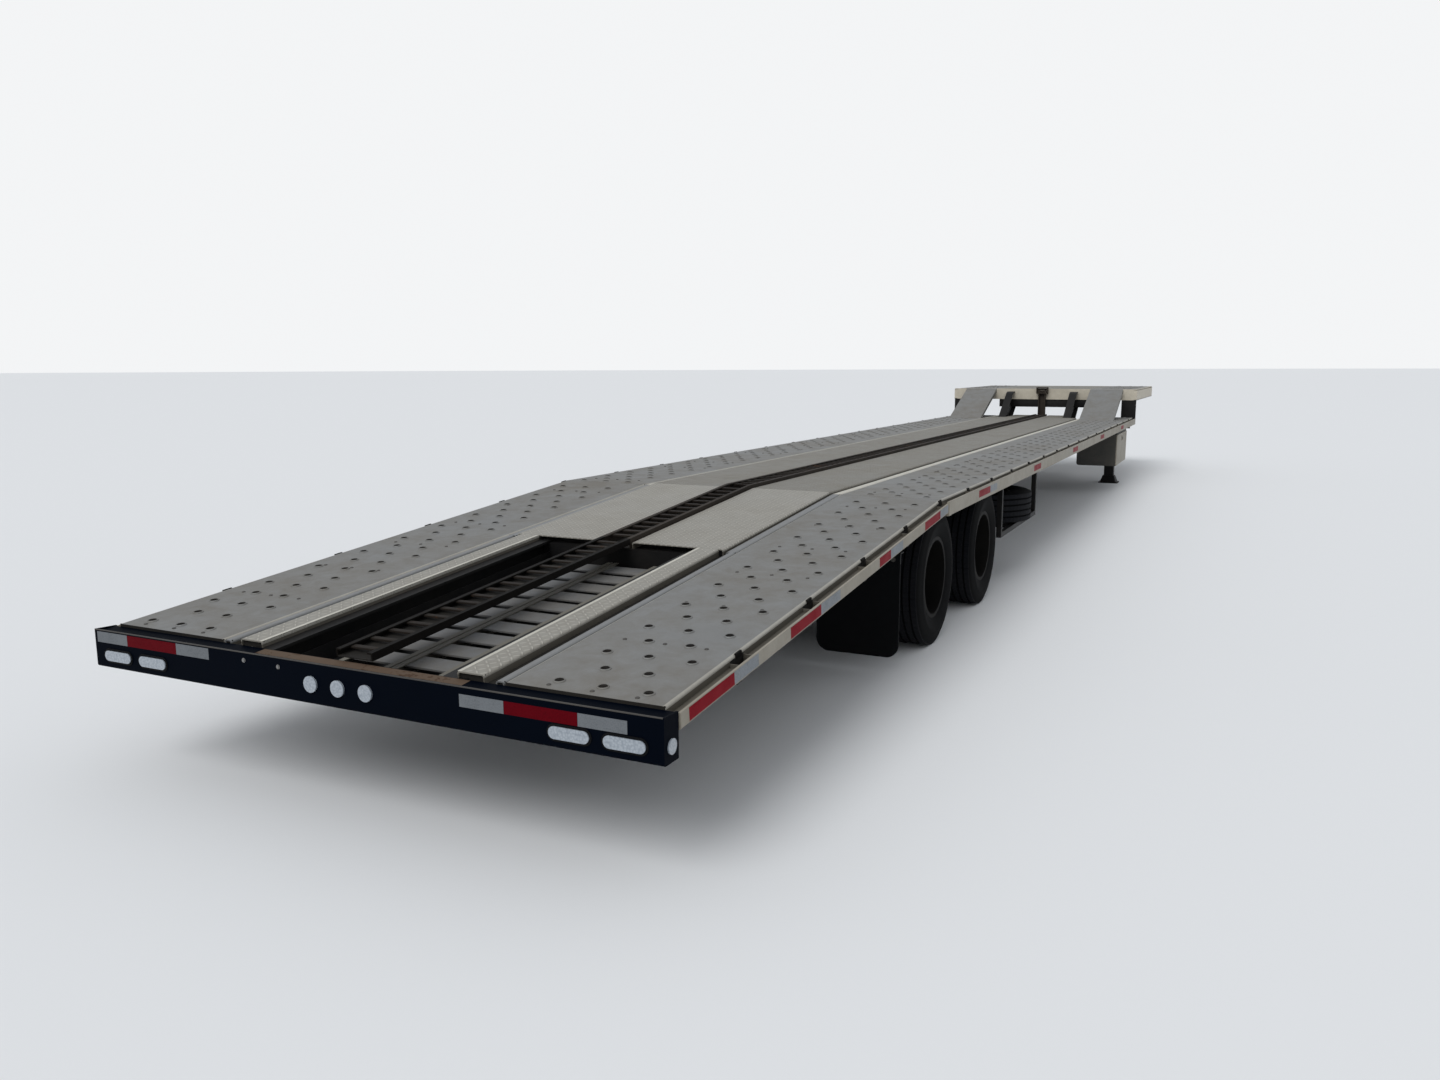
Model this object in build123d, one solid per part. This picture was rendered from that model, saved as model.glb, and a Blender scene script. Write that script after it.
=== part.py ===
from build123d import *
import os
from math import atan2, cos, degrees, hypot, tan

# Open drop-deck car-transporter semi-trailer, parked on its wheels and landing legs.
# Units are millimetres. X is the trailer's right, Y is forward, Z is up, the ground is Z = 0.
# The origin is on the ground under the middle of the trailer.
# A "station" is a distance forward of the rear face.

# How far a cutting shape runs past what it cuts
CUT = 1

# Overall sizes
FRAME_LENGTH = 16154
LAMP_PROUD = 7
COUPLING_REACH = 45
WIDTH = 2590
SILL_TOP = 584
LEVEL_TOP = 864
UPPER_TOP = 1257
TAIL_RUN = 3270
UPPER_RUN = 2438

# Deck layout across the trailer, as distances from the centre line
TRACK_HALF = 90
TRACK_GAP = 3
WELL_HALF = 455
CENTRE_HALF = 650
RUNWAY_GAP = 5
RAIL_FLANGE = 40
RUB_PROUD = 5

# Deck sections
PLANK_DEPTH = 40
PLATE_THICK = 5
CENTRE_RAISE = 12
SEAT_DROP = 12
PLATE_BEND = 9
TRACK_RAISE = 30
TRACK_THICK = 6
SLOT_PITCH = 152.4
SLOT_LONG = 96
SLOT_WIDE = 84
WELL_REAR = 86
DECK_JOINT = 2
NOSE_PLATE_CLEAR = 8

# Frame
BEAM_OFFSET = 445
BEAM_FLANGE = 100
BEAM_FLANGE_THICK = 12
BEAM_WEB = 8
BEAM_BOTTOM = 571
BEAM_REAR_BOTTOM = 442
BEAM_BEND = 900
NECK_SETBACK = 716
NECK_TOP_LEAD = 60
NECK_TOP_RUN = 550
NECK_LOW_LEAD = 150
NECK_LOW_RUN = 800
NECK_BOTTOM = 1077
NECK_BEND = 220
NECK_HEEL_BEND = 73
NOSE_SETBACK = 8

# Crossmembers, outriggers and side rails
FIRST_POCKET = 510
POCKET_PITCH = 660.4
POCKET_LONG = 104
POCKET_WIDE = 28
CHANNEL_FLANGE = 42
CHANNEL_THICK = 5
CROSS_DEPTH = 90
ARM_ROOT_DEPTH = 78
ARM_TIP_DEPTH = 44
ARM_WHEEL_DEPTH = 30
ARM_SHOULDER = 60
RAIL_THICK = 6
RAIL_DROP = 8
LEVEL_RAIL_DEPTH = 120
TAIL_RAIL_DEPTH = 96
RUB_HEIGHT = 52
RUB_START = 92
RAIL_JOINT = 12
BRACKET_END = 66

# Rear sill and its lamps
SILL_DEPTH = 152
SILL_THICK = 8
SILL_LIP = 82
SILL_END = 90
OVAL_LONG = 165
OVAL_TALL = 57
OVAL_INSETS = (340, 140)
OVAL_DROP = 100
ID_LAMP_RADIUS = 30
ID_LAMP_PITCH = 127
ID_LAMP_DROP = 78
GROMMET_RIM = 8
GROMMET_PROUD = 3
SIDE_LAMP_RADIUS = 25

# Stowed loading ramps and their tray
RAMP_WIDE = 242
RAMP_GAP = 22
RAMP_DEPTH = 48
RAMP_TOP_DROP = 90
RAMP_LONG = 1720
RAMP_REAR_CLEAR = 12
RAMP_FRONT_CLEAR = 32
RAMP_BAR = 22
RAMP_SHEET = 4
RUNG_PITCH = 152
RUNG_WIDE = 76
RUNG_THICK = 8
TRAY_THICK = 4
TRAY_WALL = 70

# Upper deck, transition ramps and the step between the decks
UPPER_BEAM_DEPTH = 152
UPPER_FLANGE = 60
UPPER_CROSS_DEPTH = 76
UPPER_CROSS_PITCH = 406
STEP_PLATE_WIDE = 192
STEP_PLATE_THICK = 6
STEP_POST = 46
CLIMB_CLEAR = 10
CLIMB_TIP = 8
CLIMB_WIDE = 440
CLIMB_RUN = 1016
CLIMB_DEPTH = 44
RISER_HALF = 50
RISER_DEEP = 60
RISER_WALL = 12
FAIRLEAD_HALF = 82
FAIRLEAD_TALL = 92
FAIRLEAD_WALL = 16
ROLLER_RADIUS = 10
ROLLER_GAP = 3

# Fifth-wheel pickup
KINGPIN_SETBACK = 762
COUPLER_THICK = 10
COUPLER_HALF = 560
COUPLER_AFT = 700
COUPLER_FORE = 560
COUPLER_CORNER = 60
KINGPIN_FLANGE_R = 75
KINGPIN_FLANGE = 12
KINGPIN_FIT = 0.3
KINGPIN_COLLAR_R = 36.5
KINGPIN_COLLAR = 35
KINGPIN_NECK_R = 25.4
KINGPIN_NECK = 32
KINGPIN_FOOT_R = 35.7
KINGPIN_FOOT = 17
HOSE_OFFSET = 260
HOSE_RADIUS = 32
HOSE_CORNER = 6
SOCKET_RADIUS = 23.8
SOCKET_WALL = 8
SOCKET_DEPTH = 35

# Axles, springs and wheels
REAR_AXLE = 3410
AXLE_SPACING = 1219
AXLE_RADIUS = 63.5
SPINDLE_RADIUS = 40
SPINDLE_CLEARANCE = 0.3
TYRE_RADIUS = 394
TYRE_WIDTH = 248
TYRE_FLAT_LOW = 16
TYRE_FLAT_HIGH = 24
TYRE_SHOULDER = 20
TYRE_DROP = 12
TYRE_EDGE = 44
RIM_RADIUS = 222
RIM_HALF = 104
RIM_LIP = 14
RIM_SHEET = 8
RIM_DROP = 26
DISC_THICK = 12
DISC_RADIUS = 152
HUB_REACH = 40
BEAD_CLEARANCE = 0.4
DUAL_INSET = 346.5
DUAL_SPACING = 275
HUB_RADIUS = 112
HUB_HOLE_RADIUS = 82
HUB_CAP_RADIUS = 78
HUB_CAP_REACH = 150
DRUM_RADIUS = 165
DRUM_REACH = 243.5
BACKING_GAP = 6
BACKING_THICK = 14
BACKING_RADIUS = 148
SPINDLE_REACH = 60
CHAMBER_OFFSET = 285
CHAMBER_RADIUS = 78
CHAMBER_LONG = 130
CHAMBER_ROUND = 18
CHAMBER_BRACKET = 42
END_CLEARANCE = 5
LEAF_THICK = 12
LEAF_WIDE = 76
LEAF_CAMBER = 34
LEAF_HALVES = (560, 400, 250)
SPRING_SEAT = 10
SEAT_LONG = 160
SEAT_SIDE = 8
SEAT_WRAP = 30
SEAT_FIT = 0.2
HANGER_WIDE = 116
HANGER_LONG = 150
EQUALISER_LONG = 300
HANGER_FLARE = 40
HANGER_REACH = 40
HANGER_CHEEK = 12

# Landing legs
LEG_INSET = 250
LEG_OUTER = 140
LEG_WALL = 8
LEG_CORNER = 14
LEG_CLEARANCE = 0.4
LEG_OUTER_BOTTOM = 345
LEG_PLATE_THICK = 6
LEG_PLATE_LONG = 230
LEG_PLATE_WIDE = 200
STEM_LAP = 150
STEM_CORNER = 8
SHOE_HALF = 127
SHOE_PLATE = 12
SHOE_RISE = 100
SHOE_CORNER = 30
SHOE_STEP = 20
SHOE_COLLAR = 13
GEAR_DEEP = 65
GEAR_LONG = 120
GEAR_TALL = 150
GEAR_ROUND = 30
SHAFT_HEIGHT = 505
SHAFT_RADIUS = 14
BRACE_WIDE = 50
BRACE_RAISE = 10

# Toolbox under the right side
BOX_LEG_GAP = 159
BOX_LONG = 1100
BOX_DEEP = 478
BOX_INSET = 27
BOX_BOTTOM = 340
BOX_WALL = 5
BOX_BEND = 30
DOOR_THICK = 12
DOOR_GAP = 5
DOOR_SEAT = 0.5
DOOR_CORNER = 12
LATCH_LONG = 90
LATCH_TALL = 55
LATCH_DROP = 45
LATCH_PROUD = 8

# Spare wheel carrier and mud flaps
SPARE_STATION = 5790
SPARE_GAP = 4
SPARE_BOTTOM = 413
CARRIER_BAR = 36
CARRIER_HALF = 300
FLAP_GAP = 316
FLAP_OUTSET = 17.5
FLAP_WIDE = 457
FLAP_BOTTOM = 85
FLAP_TOP = 640
FLAP_THICK = 9
FLAP_CORNER = 70
FLAP_BAR_LONG = 50
FLAP_BAR_TALL = 60
FLAP_BAR_THICK = 6

# Sizes that follow from those above
LENGTH = LAMP_PROUD + FRAME_LENGTH + COUPLING_REACH
LEVEL_END = FRAME_LENGTH - UPPER_RUN
SLOPE = atan2(LEVEL_TOP - SILL_TOP, TAIL_RUN)
TAIL_LONG = hypot(LEVEL_TOP - SILL_TOP, TAIL_RUN)
RAIL_OUT = WIDTH / 2 - RUB_PROUD
RAIL_IN = RAIL_OUT - RAIL_THICK
RUNWAY_OUT = RAIL_OUT - RAIL_FLANGE
RUNWAY_IN = CENTRE_HALF + RUNWAY_GAP
WELL_FRONT = WELL_REAR + RAMP_REAR_CLEAR + RAMP_LONG + RAMP_FRONT_CLEAR
SEAT_TOP = LEVEL_TOP - SEAT_DROP
TAIL_SEAT = SEAT_DROP / cos(SLOPE)
MEMBER_DROP = SEAT_DROP + BEAM_FLANGE_THICK
PLANK_BOTTOM = LEVEL_TOP - PLANK_DEPTH
RAIL_BOTTOM = LEVEL_TOP - RAIL_DROP - LEVEL_RAIL_DEPTH
BEAM_EDGE = BEAM_OFFSET + BEAM_FLANGE / 2
ARM_ROOT = BEAM_OFFSET + BEAM_WEB / 2
ARM_BEND = BEAM_EDGE + ARM_SHOULDER
ARM_TIP = RAIL_IN
NECK_START = LEVEL_END - NECK_SETBACK
NECK_TOP_RISE = NECK_START + NECK_TOP_LEAD
NECK_TOP_END = NECK_TOP_RISE + NECK_TOP_RUN
NECK_LOW_RISE = NECK_START + NECK_LOW_LEAD
NECK_LOW_END = NECK_LOW_RISE + NECK_LOW_RUN
COUPLER_FACE = NECK_BOTTOM - COUPLER_THICK
FRONT_AXLE = REAR_AXLE + AXLE_SPACING
TUBE_TOP = TYRE_RADIUS + AXLE_RADIUS
DUAL_CENTRE = WIDTH / 2 - DUAL_INSET
DRUM_INNER = DUAL_CENTRE - DRUM_REACH
LEG_OFFSET = WIDTH / 2 - LEG_INSET
BOX_OUT = WIDTH / 2 - BOX_INSET
BOX_IN = BOX_OUT - BOX_DEEP
SPARE_OFFSET = BEAM_EDGE + SPARE_GAP + TYRE_RADIUS
FLAP_STATION = REAR_AXLE - TYRE_RADIUS - FLAP_GAP
FLAP_CENTRE = DUAL_CENTRE + FLAP_OUTSET


def place(station, z=0.0, x=0.0):
    return Vector(x, station + LAMP_PROUD - LENGTH / 2, z)


def deck_height(station):
    """Height of the runway surface."""
    return min(SILL_TOP + station * tan(SLOPE), LEVEL_TOP)


def beam_bottom(station):
    """Height of the main beams' underside behind the gooseneck."""
    share = min(max(station / TAIL_RUN, 0.0), 1.0)
    return BEAM_REAR_BOTTOM + (BEAM_BOTTOM - BEAM_REAR_BOTTOM) * share


def on_tail(shape):
    """Lays a shape drawn on a level deck whose rear edge is Y = 0 onto the sloping tail."""
    return Location(place(0, SILL_TOP), (degrees(SLOPE), 0, 0)) * shape


def on_level(shape):
    """Puts a shape drawn with stations for Y and deck height for Z = 0 onto the level deck."""
    return Location(place(0, LEVEL_TOP)) * shape


def box(x0, x1, y0, y1, z0, z1):
    size = (abs(x1 - x0), abs(y1 - y0), abs(z1 - z0))
    return Pos((x0 + x1) / 2, (y0 + y1) / 2, (z0 + z1) / 2) * Box(*size)


def along(section, start, stop):
    """Extrudes a section drawn as (across, up) forward from start to stop."""
    return extrude(Plane.XZ.offset(-start) * section, amount=-(stop - start))


def across(profile, x0, x1):
    """Extrudes a side view drawn as (station, height) from x0 to x1."""
    low = min(x0, x1)
    plane = Plane(origin=place(0, 0, low), x_dir=(0, 1, 0), z_dir=(1, 0, 0))
    return extrude(plane * profile, amount=abs(x1 - x0))


def outline(*points):
    return make_face(Polyline(*points, close=True))


def rounded(face, corners, radius):
    """Rounds the corners of a face that lie at the given points."""
    chosen = [v for v in face.vertices() if any((v.center() - Vector(*c)).length < 0.5 for c in corners)]
    return fillet(chosen, radius)


def folded(x_in, x_out, top, depth_in, depth_out):
    """Section of a plate with both edges folded down, the bends rounded."""
    low = top - PLATE_THICK
    a, b = x_in + PLATE_THICK, x_out - PLATE_THICK
    shape = outline(
        (x_in, top - depth_in), (x_in, top), (x_out, top), (x_out, top - depth_out),
        (b, top - depth_out), (b, low), (a, low), (a, top - depth_in),
    )
    shape = rounded(shape, [(x_in, top), (x_out, top)], PLATE_BEND)
    return rounded(shape, [(a, low), (b, low)], PLATE_BEND - PLATE_THICK)


def channel(depth, flange, thick):
    """C section with its web at x = 0, its top at y = 0 and its flanges towards +x."""
    t, low = thick, -depth
    upper = ((0, 0), (flange, 0), (flange, -t), (t, -t))
    lower = ((t, low + t), (flange, low + t), (flange, low), (0, low))
    return outline(*upper, *lower)


def i_beam(profile, x):
    """Beam whose web follows a side view and whose flanges run round its edge."""
    half, web = BEAM_FLANGE / 2, BEAM_WEB / 2
    solid = across(profile, x - half, x + half)
    hollow = offset(profile, amount=-BEAM_FLANGE_THICK, kind=Kind.INTERSECTION)
    return solid - across(hollow, x - half, x - web) - across(hollow, x + web, x + half)


def mirrored(shape):
    return mirror(shape, about=Plane.YZ)


def both_sides(shape):
    return [shape, mirrored(shape)]


pockets = []
station = FIRST_POCKET
while station < LEVEL_END - POCKET_PITCH / 2:
    pockets.append(station)
    station += POCKET_PITCH
tail_pockets = [s for s in pockets if s < TAIL_RUN]
level_pockets = [s for s in pockets if s >= TAIL_RUN]

# The landing legs and the spare wheel hang from outriggers, and those stand at the stake pockets.
leg_pocket = max(s for s in pockets if s < NECK_TOP_RISE)
spare_pocket = min(pockets, key=lambda s: abs(s - SPARE_STATION))
LEG_STATION = leg_pocket + CHANNEL_FLANGE / 2
BOX_REAR = LEG_STATION - LEG_OUTER / 2 - BOX_LEG_GAP - BOX_LONG


def runways():
    """Pierced runway planks, folded down at both edges."""
    section = folded(RUNWAY_IN, RUNWAY_OUT, 0, PLANK_DEPTH, PLANK_DEPTH)
    tail = on_tail(along(section, SILL_LIP, TAIL_LONG - DECK_JOINT))
    level = on_level(along(section, TAIL_RUN + DECK_JOINT, LEVEL_END))
    return {"deck_runways": both_sides(tail) + both_sides(level)}


def centre_deck():
    """Checker plate on both sides of the track, open over the ramp well."""
    drop = CENTRE_RAISE + MEMBER_DROP
    edge = CENTRE_RAISE + PLANK_DEPTH
    inner = TRACK_HALF + TRACK_GAP
    neck_side = BEAM_OFFSET - BEAM_FLANGE / 2 - NOSE_PLATE_CLEAR
    plate = folded(inner, CENTRE_HALF, CENTRE_RAISE, drop, edge)
    strip = folded(WELL_HALF, CENTRE_HALF, CENTRE_RAISE, CENTRE_RAISE + SEAT_DROP, edge)
    front = folded(inner, neck_side, CENTRE_RAISE, drop, drop)
    tail = on_tail(along(plate, WELL_FRONT, TAIL_LONG - DECK_JOINT))
    level = on_level(along(plate, TAIL_RUN + DECK_JOINT, NECK_START - DECK_JOINT))
    nose = on_level(along(front, NECK_START, LEVEL_END))
    flank = on_tail(along(strip, SILL_LIP, WELL_FRONT - DECK_JOINT))
    return {
        "centre_plates": both_sides(tail) + both_sides(level) + both_sides(nose),
        "well_strips": both_sides(flank),
    }


def centre_track():
    """Slotted track of an upside-down channel, with the riser and fairlead at its front."""
    top, foot = TRACK_RAISE, -MEMBER_DROP
    outer = outline((-TRACK_HALF, foot), (-TRACK_HALF, top), (TRACK_HALF, top), (TRACK_HALF, foot))
    outer = rounded(outer, [(-TRACK_HALF, top), (TRACK_HALF, top)], PLATE_BEND)
    a, b = TRACK_HALF - TRACK_THICK, top - TRACK_THICK
    section = outer - outline((-a, foot - CUT), (-a, b), (a, b), (a, foot - CUT))
    slot = Box(SLOT_WIDE, SLOT_LONG, 3 * TRACK_THICK)

    def slotted(start, stop):
        bar = along(section, start, stop)
        count = int((stop - start - SLOT_PITCH) / SLOT_PITCH)
        first = (start + stop - (count - 1) * SLOT_PITCH) / 2
        cuts = [Pos(0, first + k * SLOT_PITCH, top) * slot for k in range(count)]
        return bar - cuts

    riser_back = LEVEL_END - RISER_DEEP
    tail = on_tail(slotted(SILL_LIP + TRACK_GAP, TAIL_LONG - DECK_JOINT))
    level = on_level(slotted(TAIL_RUN + DECK_JOINT, riser_back))
    head = UPPER_TOP + RISER_HALF / 2
    foot = head - FAIRLEAD_TALL
    wall = RISER_HALF - RISER_WALL
    base = LEVEL_TOP - MEMBER_DROP
    post = box(-RISER_HALF, RISER_HALF, 0, RISER_DEEP, base, foot)
    post -= box(-wall, wall, -CUT, RISER_DEEP - RISER_WALL, base - CUT, foot)
    side, low, high = FAIRLEAD_HALF - FAIRLEAD_WALL, foot + FAIRLEAD_WALL, head - FAIRLEAD_WALL
    frame = box(-FAIRLEAD_HALF, FAIRLEAD_HALF, 0, RISER_DEEP, foot, head)
    frame -= box(-side, side, -CUT, RISER_DEEP + CUT, low, high)
    inset = ROLLER_RADIUS + ROLLER_GAP
    roller = Rot(0, 90, 0) * Cylinder(ROLLER_RADIUS, 2 * side)
    rollers = [Pos(0, RISER_DEEP / 2, z) * roller for z in (low + inset, high - inset)]
    riser = [Location(place(riser_back)) * piece for piece in [post + frame] + rollers]
    return {"centre_track": [tail, level], "track_riser": riser}


def main_beams():
    top_rear = deck_height(SILL_LIP) - TAIL_SEAT
    kink = TAIL_RUN + SEAT_DROP * tan(SLOPE / 2)
    points = (
        (SILL_LIP, top_rear), (kink, SEAT_TOP), (NECK_START, SEAT_TOP),
        (NECK_START, BEAM_BOTTOM), (TAIL_RUN, BEAM_BOTTOM), (SILL_LIP, beam_bottom(SILL_LIP)),
    )
    side = rounded(outline(*points), [(kink, SEAT_TOP), (TAIL_RUN, BEAM_BOTTOM)], BEAM_BEND)
    return {"main_beams": both_sides(i_beam(side, BEAM_OFFSET))}


def neck_beams():
    """The two beams that carry the main beams up and forward under the upper deck."""
    nose = FRAME_LENGTH - NOSE_SETBACK
    top = UPPER_TOP - PLANK_DEPTH
    points = (
        (NECK_START, SEAT_TOP), (NECK_TOP_RISE, SEAT_TOP), (NECK_TOP_END, top), (nose, top),
        (nose, NECK_BOTTOM), (NECK_LOW_END, NECK_BOTTOM), (NECK_LOW_RISE, BEAM_BOTTOM),
        (NECK_START, BEAM_BOTTOM),
    )
    side = rounded(outline(*points), [(NECK_TOP_RISE, SEAT_TOP)], NECK_HEEL_BEND)
    bends = [(NECK_TOP_END, top), (NECK_LOW_END, NECK_BOTTOM), (NECK_LOW_RISE, BEAM_BOTTOM)]
    return both_sides(i_beam(rounded(side, bends, NECK_BEND), BEAM_OFFSET))


necks = neck_beams()


def cross_channel(depth, flange, thick, reach, way=1):
    """Channel across the trailer whose web is at Y = 0 and whose flanges point forward (way 1) or back (-1)."""
    plane = Plane(origin=(-reach, 0, 0), x_dir=(0, way, 0), z_dir=(way, 0, 0))
    return extrude(plane * channel(depth, flange, thick), amount=way * 2 * reach)


def crossmembers():
    """Channels between the main beams, clear of the ramp well, and those of the upper deck."""
    lower = cross_channel(CROSS_DEPTH, CHANNEL_FLANGE, CHANNEL_THICK, BEAM_OFFSET - BEAM_WEB / 2)
    on_slope = [WELL_FRONT]
    on_slope += [s / cos(SLOPE) for s in tail_pockets if s > WELL_FRONT + CHANNEL_FLANGE]
    header = cross_channel(CROSS_DEPTH, CHANNEL_FLANGE, CHANNEL_THICK, ARM_ROOT)
    members = [on_tail(Pos(0, s, -MEMBER_DROP) * lower) for s in on_slope]
    members += [on_level(Pos(0, s, -MEMBER_DROP) * lower) for s in level_pockets if s <= leg_pocket]
    members.append(on_level(Pos(0, LEVEL_END - CHANNEL_FLANGE, -MEMBER_DROP) * header))
    upper = cross_channel(UPPER_CROSS_DEPTH, CHANNEL_FLANGE, CHANNEL_THICK, RAIL_IN)
    count = int((UPPER_RUN - UPPER_CROSS_PITCH / 2) / UPPER_CROSS_PITCH)
    for k in range(count):
        spot = place(LEVEL_END + (k + 1) * UPPER_CROSS_PITCH, UPPER_TOP - PLANK_DEPTH)
        members += (Location(spot) * upper - necks).solids()
    return {"crossmembers": members}


def outrigger(root_depth, tip_depth):
    """One arm from the right main beam to the side rail, its web at Y = 0 and its top at Z = 0."""
    low, t = -root_depth, CHANNEL_THICK
    root, tip = ARM_ROOT - CUT, ARM_TIP + CUT
    side = outline((ARM_ROOT, 0), (ARM_TIP, 0), (ARM_TIP, -tip_depth), (ARM_BEND, low), (ARM_ROOT, low))
    core = outline((root, -t), (tip, -t), (tip, t - tip_depth), (ARM_BEND, t + low), (root, t + low))
    return along(side, 0, CHANNEL_FLANGE) - along(core, t, CHANNEL_FLANGE + CUT)


def arm_underside(x):
    """Height of a level deck outrigger's underside at a distance from the centre line."""
    share = (x - ARM_BEND) / (ARM_TIP - ARM_BEND)
    return PLANK_BOTTOM - ARM_ROOT_DEPTH + (ARM_ROOT_DEPTH - ARM_TIP_DEPTH) * min(max(share, 0), 1)


def outriggers():
    """Tapered arms out to the side rails: shallow over the wheels, deep at the landing legs."""
    plain = outrigger(ARM_ROOT_DEPTH, ARM_TIP_DEPTH)
    shallow = outrigger(ARM_WHEEL_DEPTH, ARM_WHEEL_DEPTH)
    deep = outrigger(ARM_ROOT_DEPTH, ARM_ROOT_DEPTH)
    near_wheel = TYRE_RADIUS + CHANNEL_FLANGE
    arms = []
    for s in pockets + [LEVEL_END - CHANNEL_FLANGE]:
        arm = deep if s == leg_pocket else plain
        if min(abs(s - REAR_AXLE), abs(s - FRONT_AXLE)) < near_wheel:
            arm = shallow
        for piece in both_sides(arm):
            if s < TAIL_RUN:
                arms.append(on_tail(Pos(0, s / cos(SLOPE), -PLANK_DEPTH) * piece))
            else:
                arms.append(on_level(Pos(0, s, -PLANK_DEPTH) * piece))
    return {"outriggers": arms}


def upper_end_beams():
    """Channels across both ends of the upper deck, notched round the necks."""
    ends = []
    for (s, way) in ((LEVEL_END, 1), (FRAME_LENGTH, -1)):
        beam = cross_channel(UPPER_BEAM_DEPTH, UPPER_FLANGE, RAIL_THICK, RAIL_IN, way)
        ends.append(Location(place(s, UPPER_TOP)) * beam - necks)
    return ends


def side_rails():
    """Outer channels with stake slots, the rub rail along the tail, and the upper deck's frame."""

    def rail(depth, start, stop):
        web = Pos(RAIL_OUT, -RAIL_DROP) * mirror(channel(depth, RAIL_FLANGE, RAIL_THICK), Plane.YZ)
        return along(web, start, stop)

    slot = Box(POCKET_WIDE, POCKET_LONG, 4 * RAIL_THICK)
    middle = (RUNWAY_OUT + RAIL_IN) / 2
    edge = WIDTH / 2
    tail_end = TAIL_LONG - RAIL_JOINT
    tail = rail(TAIL_RAIL_DEPTH, RUB_START, tail_end)
    tail += box(RAIL_OUT, edge, RUB_START, tail_end, -RUB_HEIGHT, 0)
    tail -= [Pos(middle, s / cos(SLOPE), -RAIL_DROP) * slot for s in tail_pockets]
    level = rail(LEVEL_RAIL_DEPTH, TAIL_RUN, LEVEL_END)
    level -= [Pos(middle, s, -RAIL_DROP) * slot for s in level_pockets]
    level += box(RAIL_OUT, edge, TAIL_RUN + RAIL_JOINT, TAIL_RUN + BRACKET_END, -LEVEL_RAIL_DEPTH, 0)
    ends = upper_end_beams()
    upper = Location(place(0, UPPER_TOP)) * rail(UPPER_BEAM_DEPTH - RAIL_DROP, LEVEL_END, FRAME_LENGTH)
    rails = [on_tail(tail), on_level(level), upper - ends]
    return {"side_rails": [piece for half in rails for piece in both_sides(half)], "upper_end_beams": ends}


def rear_sill():
    """Rear cross plate with folded lips, lamp holes and closed ends."""
    bottom = SILL_TOP - SILL_DEPTH
    t = SILL_THICK
    near, edge = deck_height(t) - TAIL_SEAT, deck_height(SILL_LIP) - TAIL_SEAT
    side = outline((0, bottom), (0, SILL_TOP), (t, SILL_TOP), (t, near), (SILL_LIP, edge), (SILL_LIP, bottom))
    side = rounded(side, [(0, bottom)], PLATE_BEND)
    open_end = SILL_LIP + CUT
    core = outline((t, bottom + t), (t, near - t), (open_end, edge - t), (open_end, bottom + t))
    half = RAIL_OUT - t
    sill = across(side, -half, half) - across(core, -half - CUT, half + CUT)
    end_top = deck_height(SILL_END) - SEAT_DROP
    ends = outline((0, bottom), (0, SILL_TOP), (SILL_END, end_top), (SILL_END, bottom))
    ends = rounded(ends, [(0, bottom)], PLATE_BEND)
    for sign in (-1, 1):
        sill += across(ends, sign * half, sign * RAIL_OUT)
    face = Plane(origin=place(0), x_dir=(1, 0, 0), z_dir=(0, -1, 0))
    hole = SlotOverall(OVAL_LONG, OVAL_TALL)
    glass = SlotOverall(OVAL_LONG - 2 * GROMMET_RIM, OVAL_TALL - 2 * GROMMET_RIM)
    ovals, rounds, rims = [], [], []
    for x in [s * (WIDTH / 2 - inset) for inset in OVAL_INSETS for s in (-1, 1)]:
        spot = face * Pos(x, SILL_TOP - OVAL_DROP)
        sill -= extrude(spot * hole, amount=2 * t, both=True)
        ovals.append(extrude(spot * Pos(0, 0, GROMMET_PROUD) * glass, amount=LAMP_PROUD - GROMMET_PROUD))
        rims.append(extrude(spot * Pos(0, 0, -t) * hole, amount=t + GROMMET_PROUD))
    for k in (-1, 0, 1):
        spot = face * Pos(k * ID_LAMP_PITCH, SILL_TOP - ID_LAMP_DROP)
        rounds.append(extrude(spot * Circle(ID_LAMP_RADIUS), amount=LAMP_PROUD))
    end = Plane(origin=place(SILL_END / 2, SILL_TOP - OVAL_DROP, RAIL_OUT), x_dir=(0, 1, 0), z_dir=(1, 0, 0))
    rounds += both_sides(extrude(end * Circle(SIDE_LAMP_RADIUS), amount=RUB_PROUD))
    return {"rear_sill": [sill], "oval_lamps": ovals, "lamp_grommets": rims, "marker_lamps": rounds}


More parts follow.
